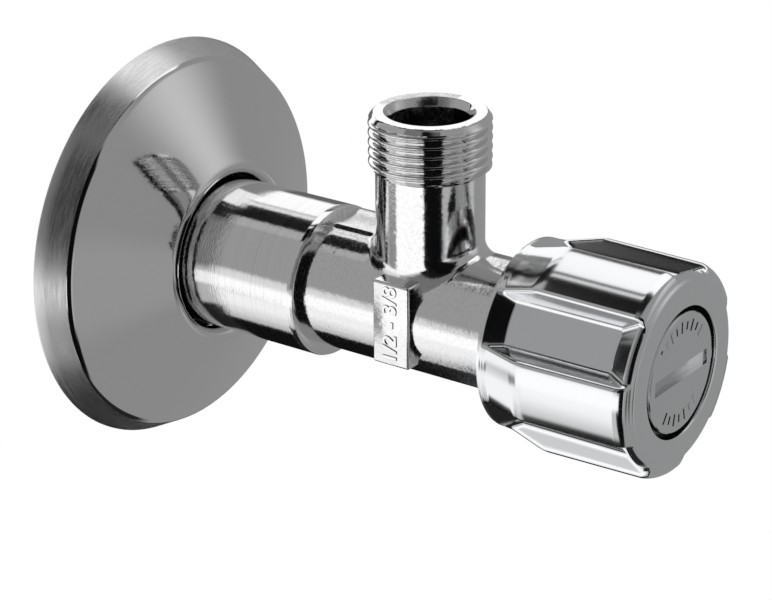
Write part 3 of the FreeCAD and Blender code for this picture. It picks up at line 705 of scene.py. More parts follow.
@dataclass(frozen=True)
class PressedFace(Finish):
    """The rosette's conical face: plated sheet that mirrors softly."""

    def surface(self, graph: Graph, place: Signal) -> Inputs:
        """A slight unevenness of the sheet and its polish.

        Args:
            graph: The node tree that it adds to.
            place: The place on the surface, in metres.

        Returns:
            The shader's inputs.
        """
        slow = graph.noise(place, 60.0, 1.0)
        fine = graph.noise(place, 2600.0, 3.0)
        return {
            "Roughness": fine.step(0.3, 0.7, self.roughness - 0.02, self.roughness + 0.03),
            "Normal": graph.bump(slow * 0.9 + fine * 0.02, 2.0e-5),
        }


@dataclass(frozen=True)
class Brass(Finish):
    """Turned bare brass."""

    def surface(self, graph: Graph, place: Signal) -> Inputs:
        """Turning rings and slight tarnish.

        Args:
            graph: The node tree that it adds to.
            place: The place on the surface, in metres.

        Returns:
            The shader's inputs.
        """
        rings = graph.noise(graph.stretch(place, (1.0, 0.02, 0.02)), 5000.0, 2.0)
        stain = graph.noise(place, 300.0, 4.0)
        return {
            "Base Color": graph.blend(self.shade(0.72), self.shade(), stain.step(0.3, 0.6)),
            "Roughness": rings.step(0.3, 0.7, self.roughness, self.roughness + 0.12),
            "Normal": graph.bump(rings, 2e-6),
        }


@dataclass(frozen=True)
class Soft(Finish):
    """Rubber, fibre or plastic with a fine grain."""

    metallic: float = 0.0
    grain_scale: float = 3000.0

    def surface(self, graph: Graph, place: Signal) -> Inputs:
        """Fine grain and slight shading.

        Args:
            graph: The node tree that it adds to.
            place: The place on the surface, in metres.

        Returns:
            The shader's inputs.
        """
        grain = graph.noise(place, self.grain_scale, 3.0)
        return {
            "Base Color": graph.blend(self.shade(0.8), self.shade(), grain.step(0.3, 0.7)),
            "Roughness": grain.step(0.2, 0.8, self.roughness - 0.08, self.roughness + 0.08),
            "Normal": graph.bump(grain, 8e-6),
        }


@dataclass(frozen=True)
class Woven(Finish):
    """Fine steel mesh, woven round the filter."""

    pitch: float = 0.45
    wires_round: float = 48.0

    def surface(self, graph: Graph, place: Signal) -> Inputs:
        """Crossed wires, with painted shade in the holes between them.

        Args:
            graph: The node tree that it adds to.
            place: The place on the surface, in metres.

        Returns:
            The shader's inputs.
        """
        parts = graph.add("ShaderNodeSeparateXYZ", {"Vector": place})
        angle = parts["Y"].work("ARCTAN2", parts["Y"], parts["Z"])
        phase = parts["X"] * (TAU / (self.pitch * MM))
        along = phase.work("SINE", phase)
        around = angle.work("SINE", angle * self.wires_round)
        holes_and_painted_shade = (along * along + around * around).step(0.35, 0.75)
        return {
            # Near-black in the holes is painted shade seen through the mesh; the same mask also bumps the
            # wires.
            "Base Color": graph.blend(grey(0.03), self.shade(), holes_and_painted_shade),
            "Normal": graph.bump(holes_and_painted_shade, 4e-5),
        }


CHROME_KNOB = PolishedChrome("knob_chrome", (0.8, 0.8, 0.8), 1.0, 0.016)
CHROME_PLUG = PolishedChrome("plug_chrome", (0.78, 0.78, 0.78), 1.0, 0.12)
CHROME_SLEEVE = TurnedChrome("sleeve_chrome", (0.8, 0.8, 0.8), 1.0, 0.06)
CHROME_CAST = CastChrome("casting_chrome", (0.8, 0.8, 0.8), 1.0, 0.07)
CHROME_PAD = RawCast("pad_chrome", (0.74, 0.74, 0.74), 1.0, 0.16)
CHROME_THREAD = PolishedChrome("thread_chrome", (0.8, 0.8, 0.8), 1.0, 0.07, 6e-6)
CHROME_FACE = PressedFace("rosette_face_chrome", (0.74, 0.74, 0.74), 1.0, 0.06)
CHROME_RIM = SatinRim("rosette_rim_chrome", (0.74, 0.74, 0.74), 1.0, 0.33)
# Near-black finish that paints shade into the way through the branch.
PAINTED_SHADE_BORE = Finish("painted_shade_bore", (0.045, 0.045, 0.045), 1.0, 0.35)
BRASS = Brass("turned_brass", (0.80, 0.60, 0.30), 1.0, 0.25)
STEEL = Finish("bright_steel", (0.62, 0.61, 0.60), 1.0, 0.28)
MESH = Woven("steel_mesh", (0.60, 0.60, 0.58), 1.0, 0.35)
RUBBER = Soft("black_rubber", (0.025, 0.025, 0.027), 0.0, 0.55)
SEAL_WHITE = Soft("white_seal", (0.78, 0.78, 0.75), 0.0, 0.45)
FIBRE = Soft("red_fibre", (0.30, 0.07, 0.04), 0.0, 0.7)
PLASTIC = Soft("filter_plastic", (0.16, 0.17, 0.19), 0.0, 0.42)

CARRIED_OVER: dict[str, Finish] = {
    "rosette_grip_ring": RUBBER,
    "inlet_seal_ring": SEAL_WHITE,
    "bonnet": BRASS,
    "bonnet_seal_ring": FIBRE,
    "spindle_o_ring_inner": RUBBER,
    "spindle_o_ring_outer": RUBBER,
    "piston": BRASS,
    "piston_o_ring": RUBBER,
    "seat_washer": RUBBER,
    "washer_screw": STEEL,
    "spindle": BRASS,
    "thrust_washer": SEAL_WHITE,
    "spindle_circlip": STEEL,
    "knob_retaining_ring": STEEL,
    "filter_frame": PLASTIC,
    "filter_mesh": MESH,
    "filter_o_ring": RUBBER,
    "plug_o_ring": RUBBER,
}


@dataclass
class WallRosette:
    """The pressed rosette that covers the hole in the wall."""

    rim_radius: float = 29.5
    crease_radius: float = 28.9
    crease_round: float = 4.0
    rim_width: float = 3.8
    polish_start: float = 4.72
    polish_radius: float = 27.07
    polish_round: float = 1.5
    hole: float = 11.2
    apex: float = 12.703
    wall: float = 0.8
    rim_round: float = 0.25
    rim_paint_gap: float = 0.6
    collar_round: float = 1.7
    bead_front: float = 8.903
    bead_back: float = 6.503
    bead_depth: float = 0.9
    bead_lip: float = 0.6

    def build(self) -> bpy.types.Object:
        """Turns the rosette from one sheet outline.

        Returns:
            The placed piece.
        """
        slope = (self.apex - self.rim_width) / (self.crease_radius - self.hole)
        face_wall = self.wall * math.hypot(1, slope)
        flange = self.hole + self.wall
        bead = self.hole + self.bead_depth
        inner_apex = self.apex - slope * self.wall - face_wall
        corners = [
            Corner(0, self.rim_radius, self.rim_round),
            Corner(self.polish_start, self.polish_radius, self.polish_round),
            Corner(self.apex, self.hole, self.collar_round),
            Corner(self.bead_front, self.hole),
            Corner(self.bead_front, bead),
            Corner(self.bead_back, bead),
            Corner(self.bead_back, self.hole),
            Corner(self.bead_back - self.bead_lip, self.hole),
            Corner(self.bead_back - self.bead_lip, flange),
            Corner(self.bead_back - self.wall, flange),
            Corner(self.bead_back - self.wall, bead + self.wall),
            Corner(self.bead_front + self.wall, bead + self.wall),
            Corner(self.bead_front + self.wall, flange),
            Corner(inner_apex, flange, self.collar_round - self.wall),
            Corner(
                self.rim_width + slope * self.wall - face_wall, self.crease_radius - self.wall,
                self.crease_round - self.wall,
            ),
            Corner(0, self.rim_radius - self.wall, self.rim_round),
        ]
        bm = Lathe().turn(corners, steps=256, longest=1.6)
        piece = Piece("wall_rosette_dressed", "rosette", "rosette_chrome", ("wall_rosette",))
        piece.add(bm, CHROME_FACE)
        return self.paint_rim(piece.place())

    def paint_rim(self, piece: bpy.types.Object) -> bpy.types.Object:
        """Gives the rim its brushed finish.

        Args:
            piece: The placed piece.

        Returns:
            The same piece.
        """
        mesh = piece.data
        mesh.materials.append(CHROME_RIM.material())
        painted_to = self.polish_start - self.rim_paint_gap
        for polygon in mesh.polygons:
            centre = polygon.center
            out = math.hypot(centre.y, centre.z) / MM
            if centre.x / MM < painted_to and out > self.polish_radius:
                polygon.material_index = 1
        return piece


@dataclass
class ValveBody:
    """The body: turned inlet and sleeve, cast waist with its branch, plate and pad, threaded outlet."""

    thread_radius: float = 10.478
    thread_pitch: float = 1.814
    thread_depth: float = 1.162
    thread_floor: float = 8.0
    lead_in: float = 1.0
    inlet_length: float = 12.0
    inlet_way: float = 6.0
    groove_back: float = -2.2
    groove_front: float = -0.6
    groove_radius: float = 9.6
    sleeve_radius: float = 10.8
    sleeve_end: float = 30.6
    overlap: float = 0.9
    seat_face: float = 30.5
    seat_back: float = 28.5
    seat_radius: float = 5.4
    seat_bore: float = 4.6
    waist: float = 9.1
    body_end: float = 64.5
    chamber_start: float = 30.4
    chamber_bore: float = 7.4
    bonnet_seat: float = 53.5
    bonnet_bore: float = 7.9
    branch: float = 46.2
    neck: float = 7.4
    neck_fillet: float = 1.6
    neck_end: float = 20.3
    outlet_radius: float = 8.331
    outlet_pitch: float = 1.337
    outlet_depth: float = 0.856
    outlet_phase: float = 20.35
    outlet_floor: float = 6.5
    outlet_foot: float = 19.7
    outlet_top: float = 28.0
    outlet_mouth: float = 6.1
    outlet_bore: float = 5.5
    run_out_start: float = 19.85
    run_out_slope: float = 1.3
    lip_fall: float = 0.72
    lip_edge: float = 0.15
    lip_edge_slope: float = 1.2
    lip_slope: float = 0.75
    lip_land: float = 0.75
    way_radius: float = 4.4
    way_start: float = 7.6
    plate_centre: float = 46.4
    plate_root: float = 7.8
    plate_shallowest: float = 3.0
    plate_width: float = 5.9
    plate_low: float = -5.4
    plate_high: float = 6.6
    plate_reach: float = 9.8
    plate_edge: float = 0.4
    plate_steps: int = 13
    mark_margin: float = 1.5
    mark_height: float = 1.15
    pad_top: float = 9.2
    pad_side: float = -1.6
    pad_round: float = 0.5
    pad_fillet: float = 0.7
    voxel: float = 0.27

    def build(self) -> bpy.types.Object:
        """Builds the whole body as one piece.

        Returns:
            The placed piece.
        """
        piece = Piece("valve_body_dressed", "valve", "body_chrome", ("valve_body",), sharp_angle=42.0)
        piece.add(self.inlet_run(), CHROME_SLEEVE)
        piece.add(self.casting(), CHROME_CAST)
        piece.add(self.body_end_ring(), CHROME_CAST)
        piece.add(self.outlet(), CHROME_THREAD)
        piece.add(self.plate(), CHROME_CAST)
        piece.add(self.plate_marks(), CHROME_CAST)
        return self.paint_skins(piece.place())

    def inlet_run(self) -> BMesh:
        """The inlet thread and the turned sleeve, with the way through them.

        Returns:
            The mesh.
        """
        tip = -self.inlet_length
        corners = [
            Corner(tip, self.inlet_way, 0.3),
            Corner(tip, self.thread_radius),
            Corner(self.groove_back, self.thread_radius),
            Corner(self.groove_back, self.groove_radius, 0.2),
            Corner(self.groove_front, self.groove_radius, 0.2),
            Corner(self.groove_front, self.thread_radius, 0.1),
            Corner(0, self.thread_radius),
            Corner(0, self.sleeve_radius, 0.2),
            Corner(self.sleeve_end, self.sleeve_radius, 0.3),
            Corner(self.sleeve_end, 7.0),
            Corner(self.seat_face, self.seat_radius, 0.1),
            Corner(self.seat_face, self.seat_bore, 0.1),
            Corner(self.seat_back, self.seat_bore),
            Corner(self.seat_back, self.inlet_way),
        ]
        lathe = Lathe()
        bm = lathe.turn(
            corners, steps=128, longest=1.0,
            finer=lambda along, out: 0.2 if along < self.groove_back and out > self.thread_floor else 1.0,
        )
        points = read_points(bm)
        along, radius, turn = lathe.polar(points)
        on_thread = (along < self.groove_back - 0.05) & (radius > self.thread_floor)
        depth = self.thread_depth * thread_wave(along / self.thread_pitch - turn / TAU)
        height = self.thread_radius - self.thread_depth + depth
        chamfer = self.thread_radius - self.lead_in + (along - tip)
        target = np.minimum(np.minimum(height, chamfer), radius)
        lathe.set_radius(bm, points, np.where(on_thread, target, radius))
        return bm

    def form(self, points: np.ndarray) -> np.ndarray:
        """The distance to the outside of the casting.

        Args:
            points: Places in millimetres, one a row.

        Returns:
            The distance of each, negative inside.
        """
        x, y, z = points[:, 0], points[:, 1], points[:, 2]
        round_x = np.hypot(y, z)
        waist = round_x - self.waist
        neck = np.maximum(np.hypot(x - self.branch, y) - self.neck, -z)
        form = round_union(waist, neck, self.neck_fillet)
        pad = round_common(
            self.pad_round, round_x - self.sleeve_radius, z - self.pad_top, self.pad_side - y,
            x - self.branch, -z,
        )
        return round_union(form, pad, self.pad_fillet)

    def casting(self) -> BMesh:
        """The cast waist and neck: joined forms, remeshed and settled on the exact form.

        Returns:
            The mesh.
        """
        rough = bmesh.new()
        start, end = self.sleeve_end - self.overlap, self.body_end
        self.rod(rough, self.waist, Vector((start - 1, 0, 0)), Vector((end + 1, 0, 0)))
        top = Vector((self.branch, 0, self.neck_end + 1.2))
        self.rod(rough, self.neck, Vector((self.branch, 0, 0)), top)
        for low_side, high_side, height in ((self.pad_side, 5.4, self.pad_top), (0, 10.0, 4.0)):
            self.block(rough, (start - 1, low_side, 0), (self.branch, high_side, height))
        bm = self.remesh(rough)
        write_points(bm, settle_on(self.form, read_points(bm)))
        trim(bm, (start, 0, 0), (-1, 0, 0))
        trim(bm, (end, 0, 0), (1, 0, 0))
        trim(bm, (0, 0, self.neck_end), (0, 0, 1))
        return bm

    @staticmethod
    def rod(bm: BMesh, radius: float, start: Vector, end: Vector) -> None:
        """Adds a closed rod between two points.

        Args:
            bm: The mesh.
            radius: The rod's radius.
            start: The middle of one end.
            end: The middle of the other end.
        """
        along = end - start
        turn = along.to_track_quat("Z", "Y").to_matrix().to_4x4()
        bmesh.ops.create_cone(
            bm, cap_ends=True, segments=96, radius1=radius, radius2=radius, depth=along.length,
            matrix=Matrix.Translation((start + end) / 2) @ turn,
        )

    @staticmethod
    def block(bm: BMesh, low: Sequence[float], high: Sequence[float]) -> None:
        """Adds a block between two corners.

        Args:
            bm: The mesh.
            low: Its lowest corner.
            high: Its highest corner.
        """
        low, high = Vector(low), Vector(high)
        matrix = Matrix.Translation((low + high) / 2) @ Matrix.Diagonal((*(high - low), 1))
        bmesh.ops.create_cube(bm, size=1.0, matrix=matrix)

    def remesh(self, bm: BMesh) -> BMesh:
        """Welds overlapping solids into one even skin.

        Args:
            bm: The overlapping solids, which are freed.

        Returns:
            The skin.
        """
        rough = mesh_object("casting_rough", bm)
        modifier = rough.modifiers.new("skin", "REMESH")
        modifier.mode = "VOXEL"
        modifier.voxel_size = self.voxel
        modifier.adaptivity = 0.0
        return take_result(rough)

    def body_end_ring(self) -> BMesh:
        """The end of the body and the chamber inside it.

        Returns:
            The mesh.
        """
        corners = [
            Corner(self.body_end - 1.5, self.waist - 0.1),
            Corner(self.body_end - 0.001, self.waist - 0.02),
            Corner(self.body_end, self.bonnet_bore, 0.2),
            Corner(self.bonnet_seat, self.bonnet_bore),
            Corner(self.bonnet_seat, self.chamber_bore),
            Corner(self.chamber_start, self.chamber_bore),
            Corner(self.chamber_start, 8.2),
            Corner(60.0, 8.6),
        ]
        return Lathe().turn(corners, steps=96)

    def outlet(self) -> BMesh:
        """The threaded end of the branch and the way down through it.

        Returns:
            The mesh.
        """
        top, foot = self.outlet_top, self.outlet_foot
        corners = [
            Corner(foot, self.neck - 0.3),
            Corner(foot + 0.02, self.outlet_radius),
            Corner(top, self.outlet_radius),
            Corner(top, self.outlet_mouth, 0.25),
            Corner(26.8, self.outlet_bore, 0.3),
            Corner(19.0, self.outlet_bore, 0.2),
            Corner(18.1, self.way_radius, 0.2),
            Corner(self.way_start, self.way_radius),
            Corner(self.way_start, 5.0),
            Corner(16.5, 5.6),
        ]
        lathe = Lathe(Axis.BRANCH, self.branch)
        bm = lathe.turn(
            corners, steps=176, longest=1.0,
            finer=lambda along, out: 0.11 if along > foot - 0.1 and out > self.outlet_floor else 1.0,
        )
        points = read_points(bm)
        along, radius, turn = lathe.polar(points)
        outside = (radius > self.outlet_floor) & (along > foot)
        wave = thread_wave((along - self.outlet_phase) / self.outlet_pitch - turn / TAU)
        height = self.outlet_radius - self.outlet_depth * (1 - wave)
        from_top = top - along
        lip = self.outlet_radius - self.lip_fall
        lip = lip + np.minimum(from_top, self.lip_edge) * self.lip_edge_slope
        lip = lip + np.maximum(from_top - self.lip_edge, 0) * self.lip_slope
        run_out = self.neck - 0.02 + np.maximum(along - self.run_out_start, 0) * self.run_out_slope
        inner = np.minimum(np.minimum(height, lip), run_out)
        target = np.minimum(np.maximum(inner, np.where(from_top < self.lip_land, lip, 0)), radius)
        lathe.set_radius(bm, points, np.where(outside, target, radius))
        return bm

    def plate(self) -> BMesh:
        """The plate that stands out of the casting towards the front.

        Returns:
            The mesh.
        """
        bm = bmesh.new()
        side = self.plate_centre - self.plate_width / 2
        heights = np.linspace(self.plate_high, self.plate_low, self.plate_steps)
        root = -np.sqrt(np.maximum(self.plate_root**2 - heights**2, self.plate_shallowest**2))
        outline = [
            (-self.plate_reach, self.plate_low), (-self.plate_reach, self.plate_high), *zip(root, heights)
        ]
        face = bm.faces.new([bm.verts.new((side, y, z)) for y, z in outline])
        pulled = bmesh.ops.extrude_face_region(bm, geom=[face])["geom"]
        bmesh.ops.translate(bm, vec=(self.plate_width, 0, 0), verts=only(pulled, BMVert))
        bmesh.ops.recalc_face_normals(bm, faces=list(bm.faces))
        front = -self.plate_reach + 0.01
        edges = [edge for edge in bm.edges if min(vert.co.y for vert in edge.verts) < front]
        bmesh.ops.bevel(
            bm, geom=edges, offset=self.plate_edge, offset_type="OFFSET", segments=4, profile=0.5,
            affect="EDGES", material=-1,
        )
        return bm

    def plate_marks(self) -> BMesh:
        """Raised plain numbers on the plate: the nominal sizes of inlet and outlet.

        Returns:
            The mesh.
        """
        curve = bpy.data.curves.new("plate_marks", "FONT")
        curve.body = "1/2 - 3/8"
        curve.size = 2.75
        curve.extrude = 0.10
        curve.bevel_depth = 0.05
        curve.bevel_resolution = 2
        curve.resolution_u = 4
        curve.align_x = "CENTER"
        curve.align_y = "CENTER"
        bm = take_result(link_object("plate_marks", curve))
        width = max(v.co.x for v in bm.verts) - min(v.co.x for v in bm.verts)
        fit = (self.plate_high - self.plate_low - self.mark_margin) / width
        bmesh.ops.scale(bm, vec=(fit, self.mark_height, 1.0), verts=list(bm.verts))
        reading_up = Matrix(((0, -1, 0, 0), (0, 0, -1, 0), (1, 0, 0, 0), (0, 0, 0, 1)))
        middle = Vector((self.plate_centre, -self.plate_reach, (self.plate_low + self.plate_high) / 2))
        bmesh.ops.transform(bm, matrix=Matrix.Translation(middle) @ reading_up, verts=list(bm.verts))
        return bm

    def paint_skins(self, piece: bpy.types.Object) -> bpy.types.Object:
        """Gives the top of the pad its raw cast skin, and paints shade into the way through the branch as a
        near-black finish.

        Args:
            piece: The placed piece.

        Returns:
            The same piece.
        """
        mesh = piece.data
        raw, painted_shade_index = len(mesh.materials), len(mesh.materials) + 1
        mesh.materials.append(CHROME_PAD.material())
        # The way through the branch gets painted shade: a near-black finish.
        mesh.materials.append(PAINTED_SHADE_BORE.material())
        for polygon in mesh.polygons:
            x, y, z = polygon.center / MM
            over_pad = self.sleeve_end < x < self.branch and y > self.pad_side + 0.2
            if over_pad and z > 8.4 and math.hypot(y, z) > self.waist + 0.05:
                polygon.material_index = raw
            elif 4.5 < z < self.outlet_top - 1.0 and math.hypot(x - self.branch, y) < 5.75:
                polygon.material_index = painted_shade_index
        return piece


@dataclass
class Knob:
    """The hand knob: a recessed barrel between two rims, with five lobes across it."""

    back: float = 62.3
    front: float = 85.4
    cavity: float = 10.3
    recess: float = 11.7
    rim: float = 13.2
    lobe: float = 14.7
    back_rim: float = 13.0
    recess_start: float = 65.5
    recess_end: float = 81.4
    front_rim: float = 84.1
    pocket: float = 8.9
    stem_bore: float = 5.15
    back_lip: float = 0.6
    web_back: float = 73.45
    web_front: float = 79.25
    lobe_width: float = 8.7
    lobe_start: float = 63.0
    lobe_end: float = 85.1
    lobe_taper: float = 0.25
    lobe_chamfer: float = 0.8
    lobe_count: int = 5
    lobe_turn: float = 24.5
    slope_start: float = 63.5
    slope_end: float = 69.0
    slope_foot: float = 13.05
    edge_round: float = 0.4
    crown_round: float = 0.25
    front_round: float = 0.6
    nose_round: float = 1.15
    fillet: float = 0.6
    barrel_lean: float = 0.93
    search_rounds: int = 26
    even_columns: tuple[float, ...] = (0.0, 7.5, 28.5, 36.0)
    gathered_columns: tuple[float, ...] = (0.0, 12.5, 24.5, 36.0)

    def build(self) -> bpy.types.Object:
        """Turns the barrel and raises the lobes out of it.

        Returns:
            The placed piece.
        """
        corners = [
            Corner(self.back, self.cavity, 0.2),
            Corner(self.back, self.back_rim, 0.4),
            Corner(self.back + self.back_lip, self.back_rim, 0.6),
            Corner(self.recess_start, self.recess, 0.6),
            Corner(self.recess_end, self.recess, 0.35),
            Corner(self.front_rim, self.rim, 0.35),
            Corner(self.front, self.rim, self.nose_round),
            Corner(self.front, self.pocket, 0.15),
            Corner(self.web_front, self.pocket),
            Corner(self.web_front, self.stem_bore),
            Corner(self.web_back, self.stem_bore),
            Corner(self.web_back, self.cavity),
        ]
        bm = Lathe().turn(corners, steps=480, longest=0.8, finer=self.ring_gap)
        self.gather_columns(bm)
        self.raise_lobes(bm)
        piece = Piece("knob_dressed", "hand_wheel", "knob_chrome", ("knob",), sharp_angle=60.0)
        piece.add(bm, CHROME_KNOB)
        return piece.place()

    def ring_gap(self, along: float, out: float) -> float:
        """How far apart the rings of the mesh may be: closer where the lobes begin and end.

        Args:
            along: The place along the axis.
            out: The distance from the axis.

        Returns:
            The longest gap.
        """
        if out < self.recess - 0.5 or self.slope_end + 0.4 < along < self.recess_end - 0.3:
            return 5.0
        if along > self.lobe_end - 0.2:
            return 0.07
        return 0.2

    def lobe_angle(self, turn: np.ndarray) -> np.ndarray:
        """Angles from the nearest lobe's middle, in radians.

        Args:
            turn: Angles round the axis, in radians.

        Returns:
            The angle of each.
        """
        spacing = TAU / self.lobe_count
        first = math.pi / 2 + math.radians(self.lobe_turn)
        return np.mod(turn - first + spacing / 2, spacing) - spacing / 2

    def gather_columns(self, bm: BMesh) -> None:
        """Turns the vertices towards the lobes' sides, so that more of them lie there.

        Args:
            bm: The mesh.
        """
        points = read_points(bm)
        turn = np.degrees(self.lobe_angle(Lathe().polar(points)[2]))
        gathered = np.interp(np.abs(turn), self.even_columns, self.gathered_columns) * np.sign(turn)
        shift = np.radians(gathered - turn)
        y, z = points[:, 1].copy(), points[:, 2].copy()
        points[:, 1] = y * np.cos(shift) - z * np.sin(shift)
        points[:, 2] = y * np.sin(shift) + z * np.cos(shift)
        write_points(bm, points)

    def barrel_radius(self, along: np.ndarray) -> np.ndarray:
        """The barrel's own radius along the axis.

        Args:
            along: Places along the axis.

        Returns:
            The radius at each place.
        """
        lip = self.back + self.back_lip
        straight = np.interp(
            along,
            [self.back, lip, self.recess_start, self.recess_end, self.front_rim, self.front],
            [self.back_rim, self.back_rim, self.recess, self.recess, self.rim, self.rim],
        )
        nose = np.clip(along - self.front + self.nose_round, 0, self.nose_round)
        return straight - self.nose_round + np.sqrt(self.nose_round**2 - nose**2)

    def lobe_form(self, along: np.ndarray, out: np.ndarray, turn: np.ndarray) -> np.ndarray:
        """The distance to the nearest lobe.

        Args:
            along: Places along the axis.
            out: Distances from the axis.
            turn: Angles from the nearest lobe's middle, in radians.

        Returns:
            The distance of each, negative inside.
        """
        side = np.abs(out * np.sin(turn)) - self.lobe_width / 2
        rise = self.lobe - self.slope_foot
        run = self.slope_end - self.slope_start
        slope = (out - self.slope_foot) * run - (along - self.slope_start) * rise
        slope = slope / math.hypot(rise, run)
        front = self.lobe_end - self.lobe_chamfer
        drop = self.lobe_taper * (along - self.slope_end) / (front - self.slope_end)
        chamfer = (out - self.lobe + self.lobe_taper + along - front) / math.sqrt(2)
        crown = round_common(self.crown_round, out - self.lobe + drop, slope)
        crown = round_common(self.front_round, crown, chamfer)
        return round_common(self.edge_round, side, crown, along - self.lobe_end, self.lobe_start - along)

    def raise_lobes(self, bm: BMesh) -> None:
        """Pushes the barrel's skin out to the lobes, straight away from the axis.

        Args:
            bm: The mesh.
        """
        lathe = Lathe()
        points = read_points(bm)
        along, out, turn = lathe.polar(points)
        turn = self.lobe_angle(turn)
        skin = (out > self.recess - 0.05) & (along < self.lobe_end + 0.01)
        low, high = out.copy(), np.full_like(out, self.lobe + 1.0)
        barrel = self.barrel_radius(along)

        def form(radius: np.ndarray) -> np.ndarray:
            """The distance to barrel and lobes together, at a trial radius."""
            to_barrel = (radius - barrel) * self.barrel_lean
            return round_union(to_barrel, self.lobe_form(along, radius, turn), self.fillet)

        for _ in range(self.search_rounds):
            middle = (low + high) / 2
            inside = form(middle) < 0
            low = np.where(inside, middle, low)
            high = np.where(inside, high, middle)
        lathe.set_radius(bm, points, np.where(skin, np.maximum(low, out), out))


@dataclass
class FilterPlug:
    """The plug in the middle of the knob, with its coin slot."""

    radius: float = 8.2
    face: float = 85.3
    back: float = 83.2
    skirt: float = 80.6
    skirt_bore: float = 4.85
    skirt_radius: float = 6.35
    edge_round: float = 0.35
    slot_width: float = 2.1
    slot_length: float = 13.4
    slot_depth: float = 1.2
    slot_curve: float = 26.0
    slot_edge: float = 0.07
    slot_edge_angle: float = 50.0
    mark_radius: float = 6.35
    mark_step: float = 12.0
    mark_thickness: float = 0.19
    mark_width: float = 0.5
    mark_heights: tuple[float, float] = (1.6, 1.1)

    def build(self) -> bpy.types.Object:
        """Turns the plug, cuts the slot and raises the marks.

        Returns:
            The placed piece.
        """
        corners = [
            Corner(self.back, ON_AXIS),
            Corner(self.back, self.skirt_bore),
            Corner(self.skirt, self.skirt_bore),
            Corner(self.skirt, self.skirt_radius),
            Corner(self.back, self.skirt_radius),
            Corner(self.back, self.radius),
            Corner(self.face, self.radius, self.edge_round),
            Corner(self.face, ON_AXIS),
        ]
        disc = Lathe().turn(corners, steps=128)
        bm = self.cut(disc, self.slot_cutter())
        piece = Piece("filter_plug_dressed", "plug", "plug_chrome", ("filter_plug",), sharp_angle=9.0)
        piece.add(bm, CHROME_PLUG)
        piece.add(self.marks(), CHROME_PLUG)
        return piece.place()

    def slot_cutter(self) -> BMesh:
        """A coin that stands across the face, cut off at the slot's ends.

        Returns:
            The mesh.
        """
        bm = bmesh.new()
        centre = Vector((self.face - self.slot_depth + self.slot_curve, 0, 0))
        bmesh.ops.create_cone(
            bm, cap_ends=True, segments=256, radius1=self.slot_curve, radius2=self.slot_curve,
            depth=self.slot_width, matrix=Matrix.Translation(centre),
        )
        for side in (-1, 1):
            edges = trim(bm, (0, side * self.slot_length / 2, 0), (0, side, 0))
            bmesh.ops.contextual_create(bm, geom=edges)
        bmesh.ops.recalc_face_normals(bm, faces=list(bm.faces))
        return bm

    def cut(self, solid: BMesh, cutter: BMesh) -> BMesh:
        """Cuts one closed mesh out of another, and rounds the new edges.

        Args:
            solid: The mesh that is cut.
            cutter: The mesh that is taken out of it.

        Returns:
            What is left.
        """
        body, tool = mesh_object("cut_solid", solid), mesh_object("cut_cutter", cutter)
        modifier = body.modifiers.new("cut", "BOOLEAN")
        modifier.operation = "DIFFERENCE"
        modifier.solver = "EXACT"
        modifier.object = tool
        edge = body.modifiers.new("edge", "BEVEL")
        edge.width = self.slot_edge
        edge.segments = 2
        edge.limit_method = "ANGLE"
        edge.angle_limit = math.radians(self.slot_edge_angle)
        return take_result(body, tool)

    def marks(self) -> BMesh:
        """Two arcs of short raised bars, as on a plain scale.

        Returns:
            The mesh.
        """
        bm = bmesh.new()
        for middle, count in ((90.0, 9), (-90.0, 7)):
            for index in range(count):
                angle = math.radians(middle + (index - (count - 1) / 2) * self.mark_step)
                size = (self.mark_thickness, self.mark_width, self.mark_heights[index % 2])
                made = bmesh.ops.create_cube(bm, size=1.0, matrix=Matrix.Diagonal((*size, 1)))
                place = Matrix.Translation((self.face, 0, 0)) @ Matrix.Rotation(angle - math.pi / 2, 4, "X")
                place = place @ Matrix.Translation((0, 0, self.mark_radius))
                bmesh.ops.transform(bm, matrix=place, verts=made["verts"])
        return bm


@dataclass(frozen=True)
class Card:
    """A card of the studio: where it starts and ends in degrees, how bright and how soft it is."""

    start: float
    end: float
    level: float
    soft_start: float
    soft_end: float


@dataclass(frozen=True)
class Row:
    """Cards that share one range across, seen in the valve's reflections only.

    Their angles go round the inlet axis for strips that run along the valve, and round the upright
    axis for upright cards. The range across is a cosine along the inlet axis for strips, and a
    height in degrees for upright cards.
    """

    low: float
    high: float
    soft: float
    cards: tuple[Card, ...]
    upright: bool = False


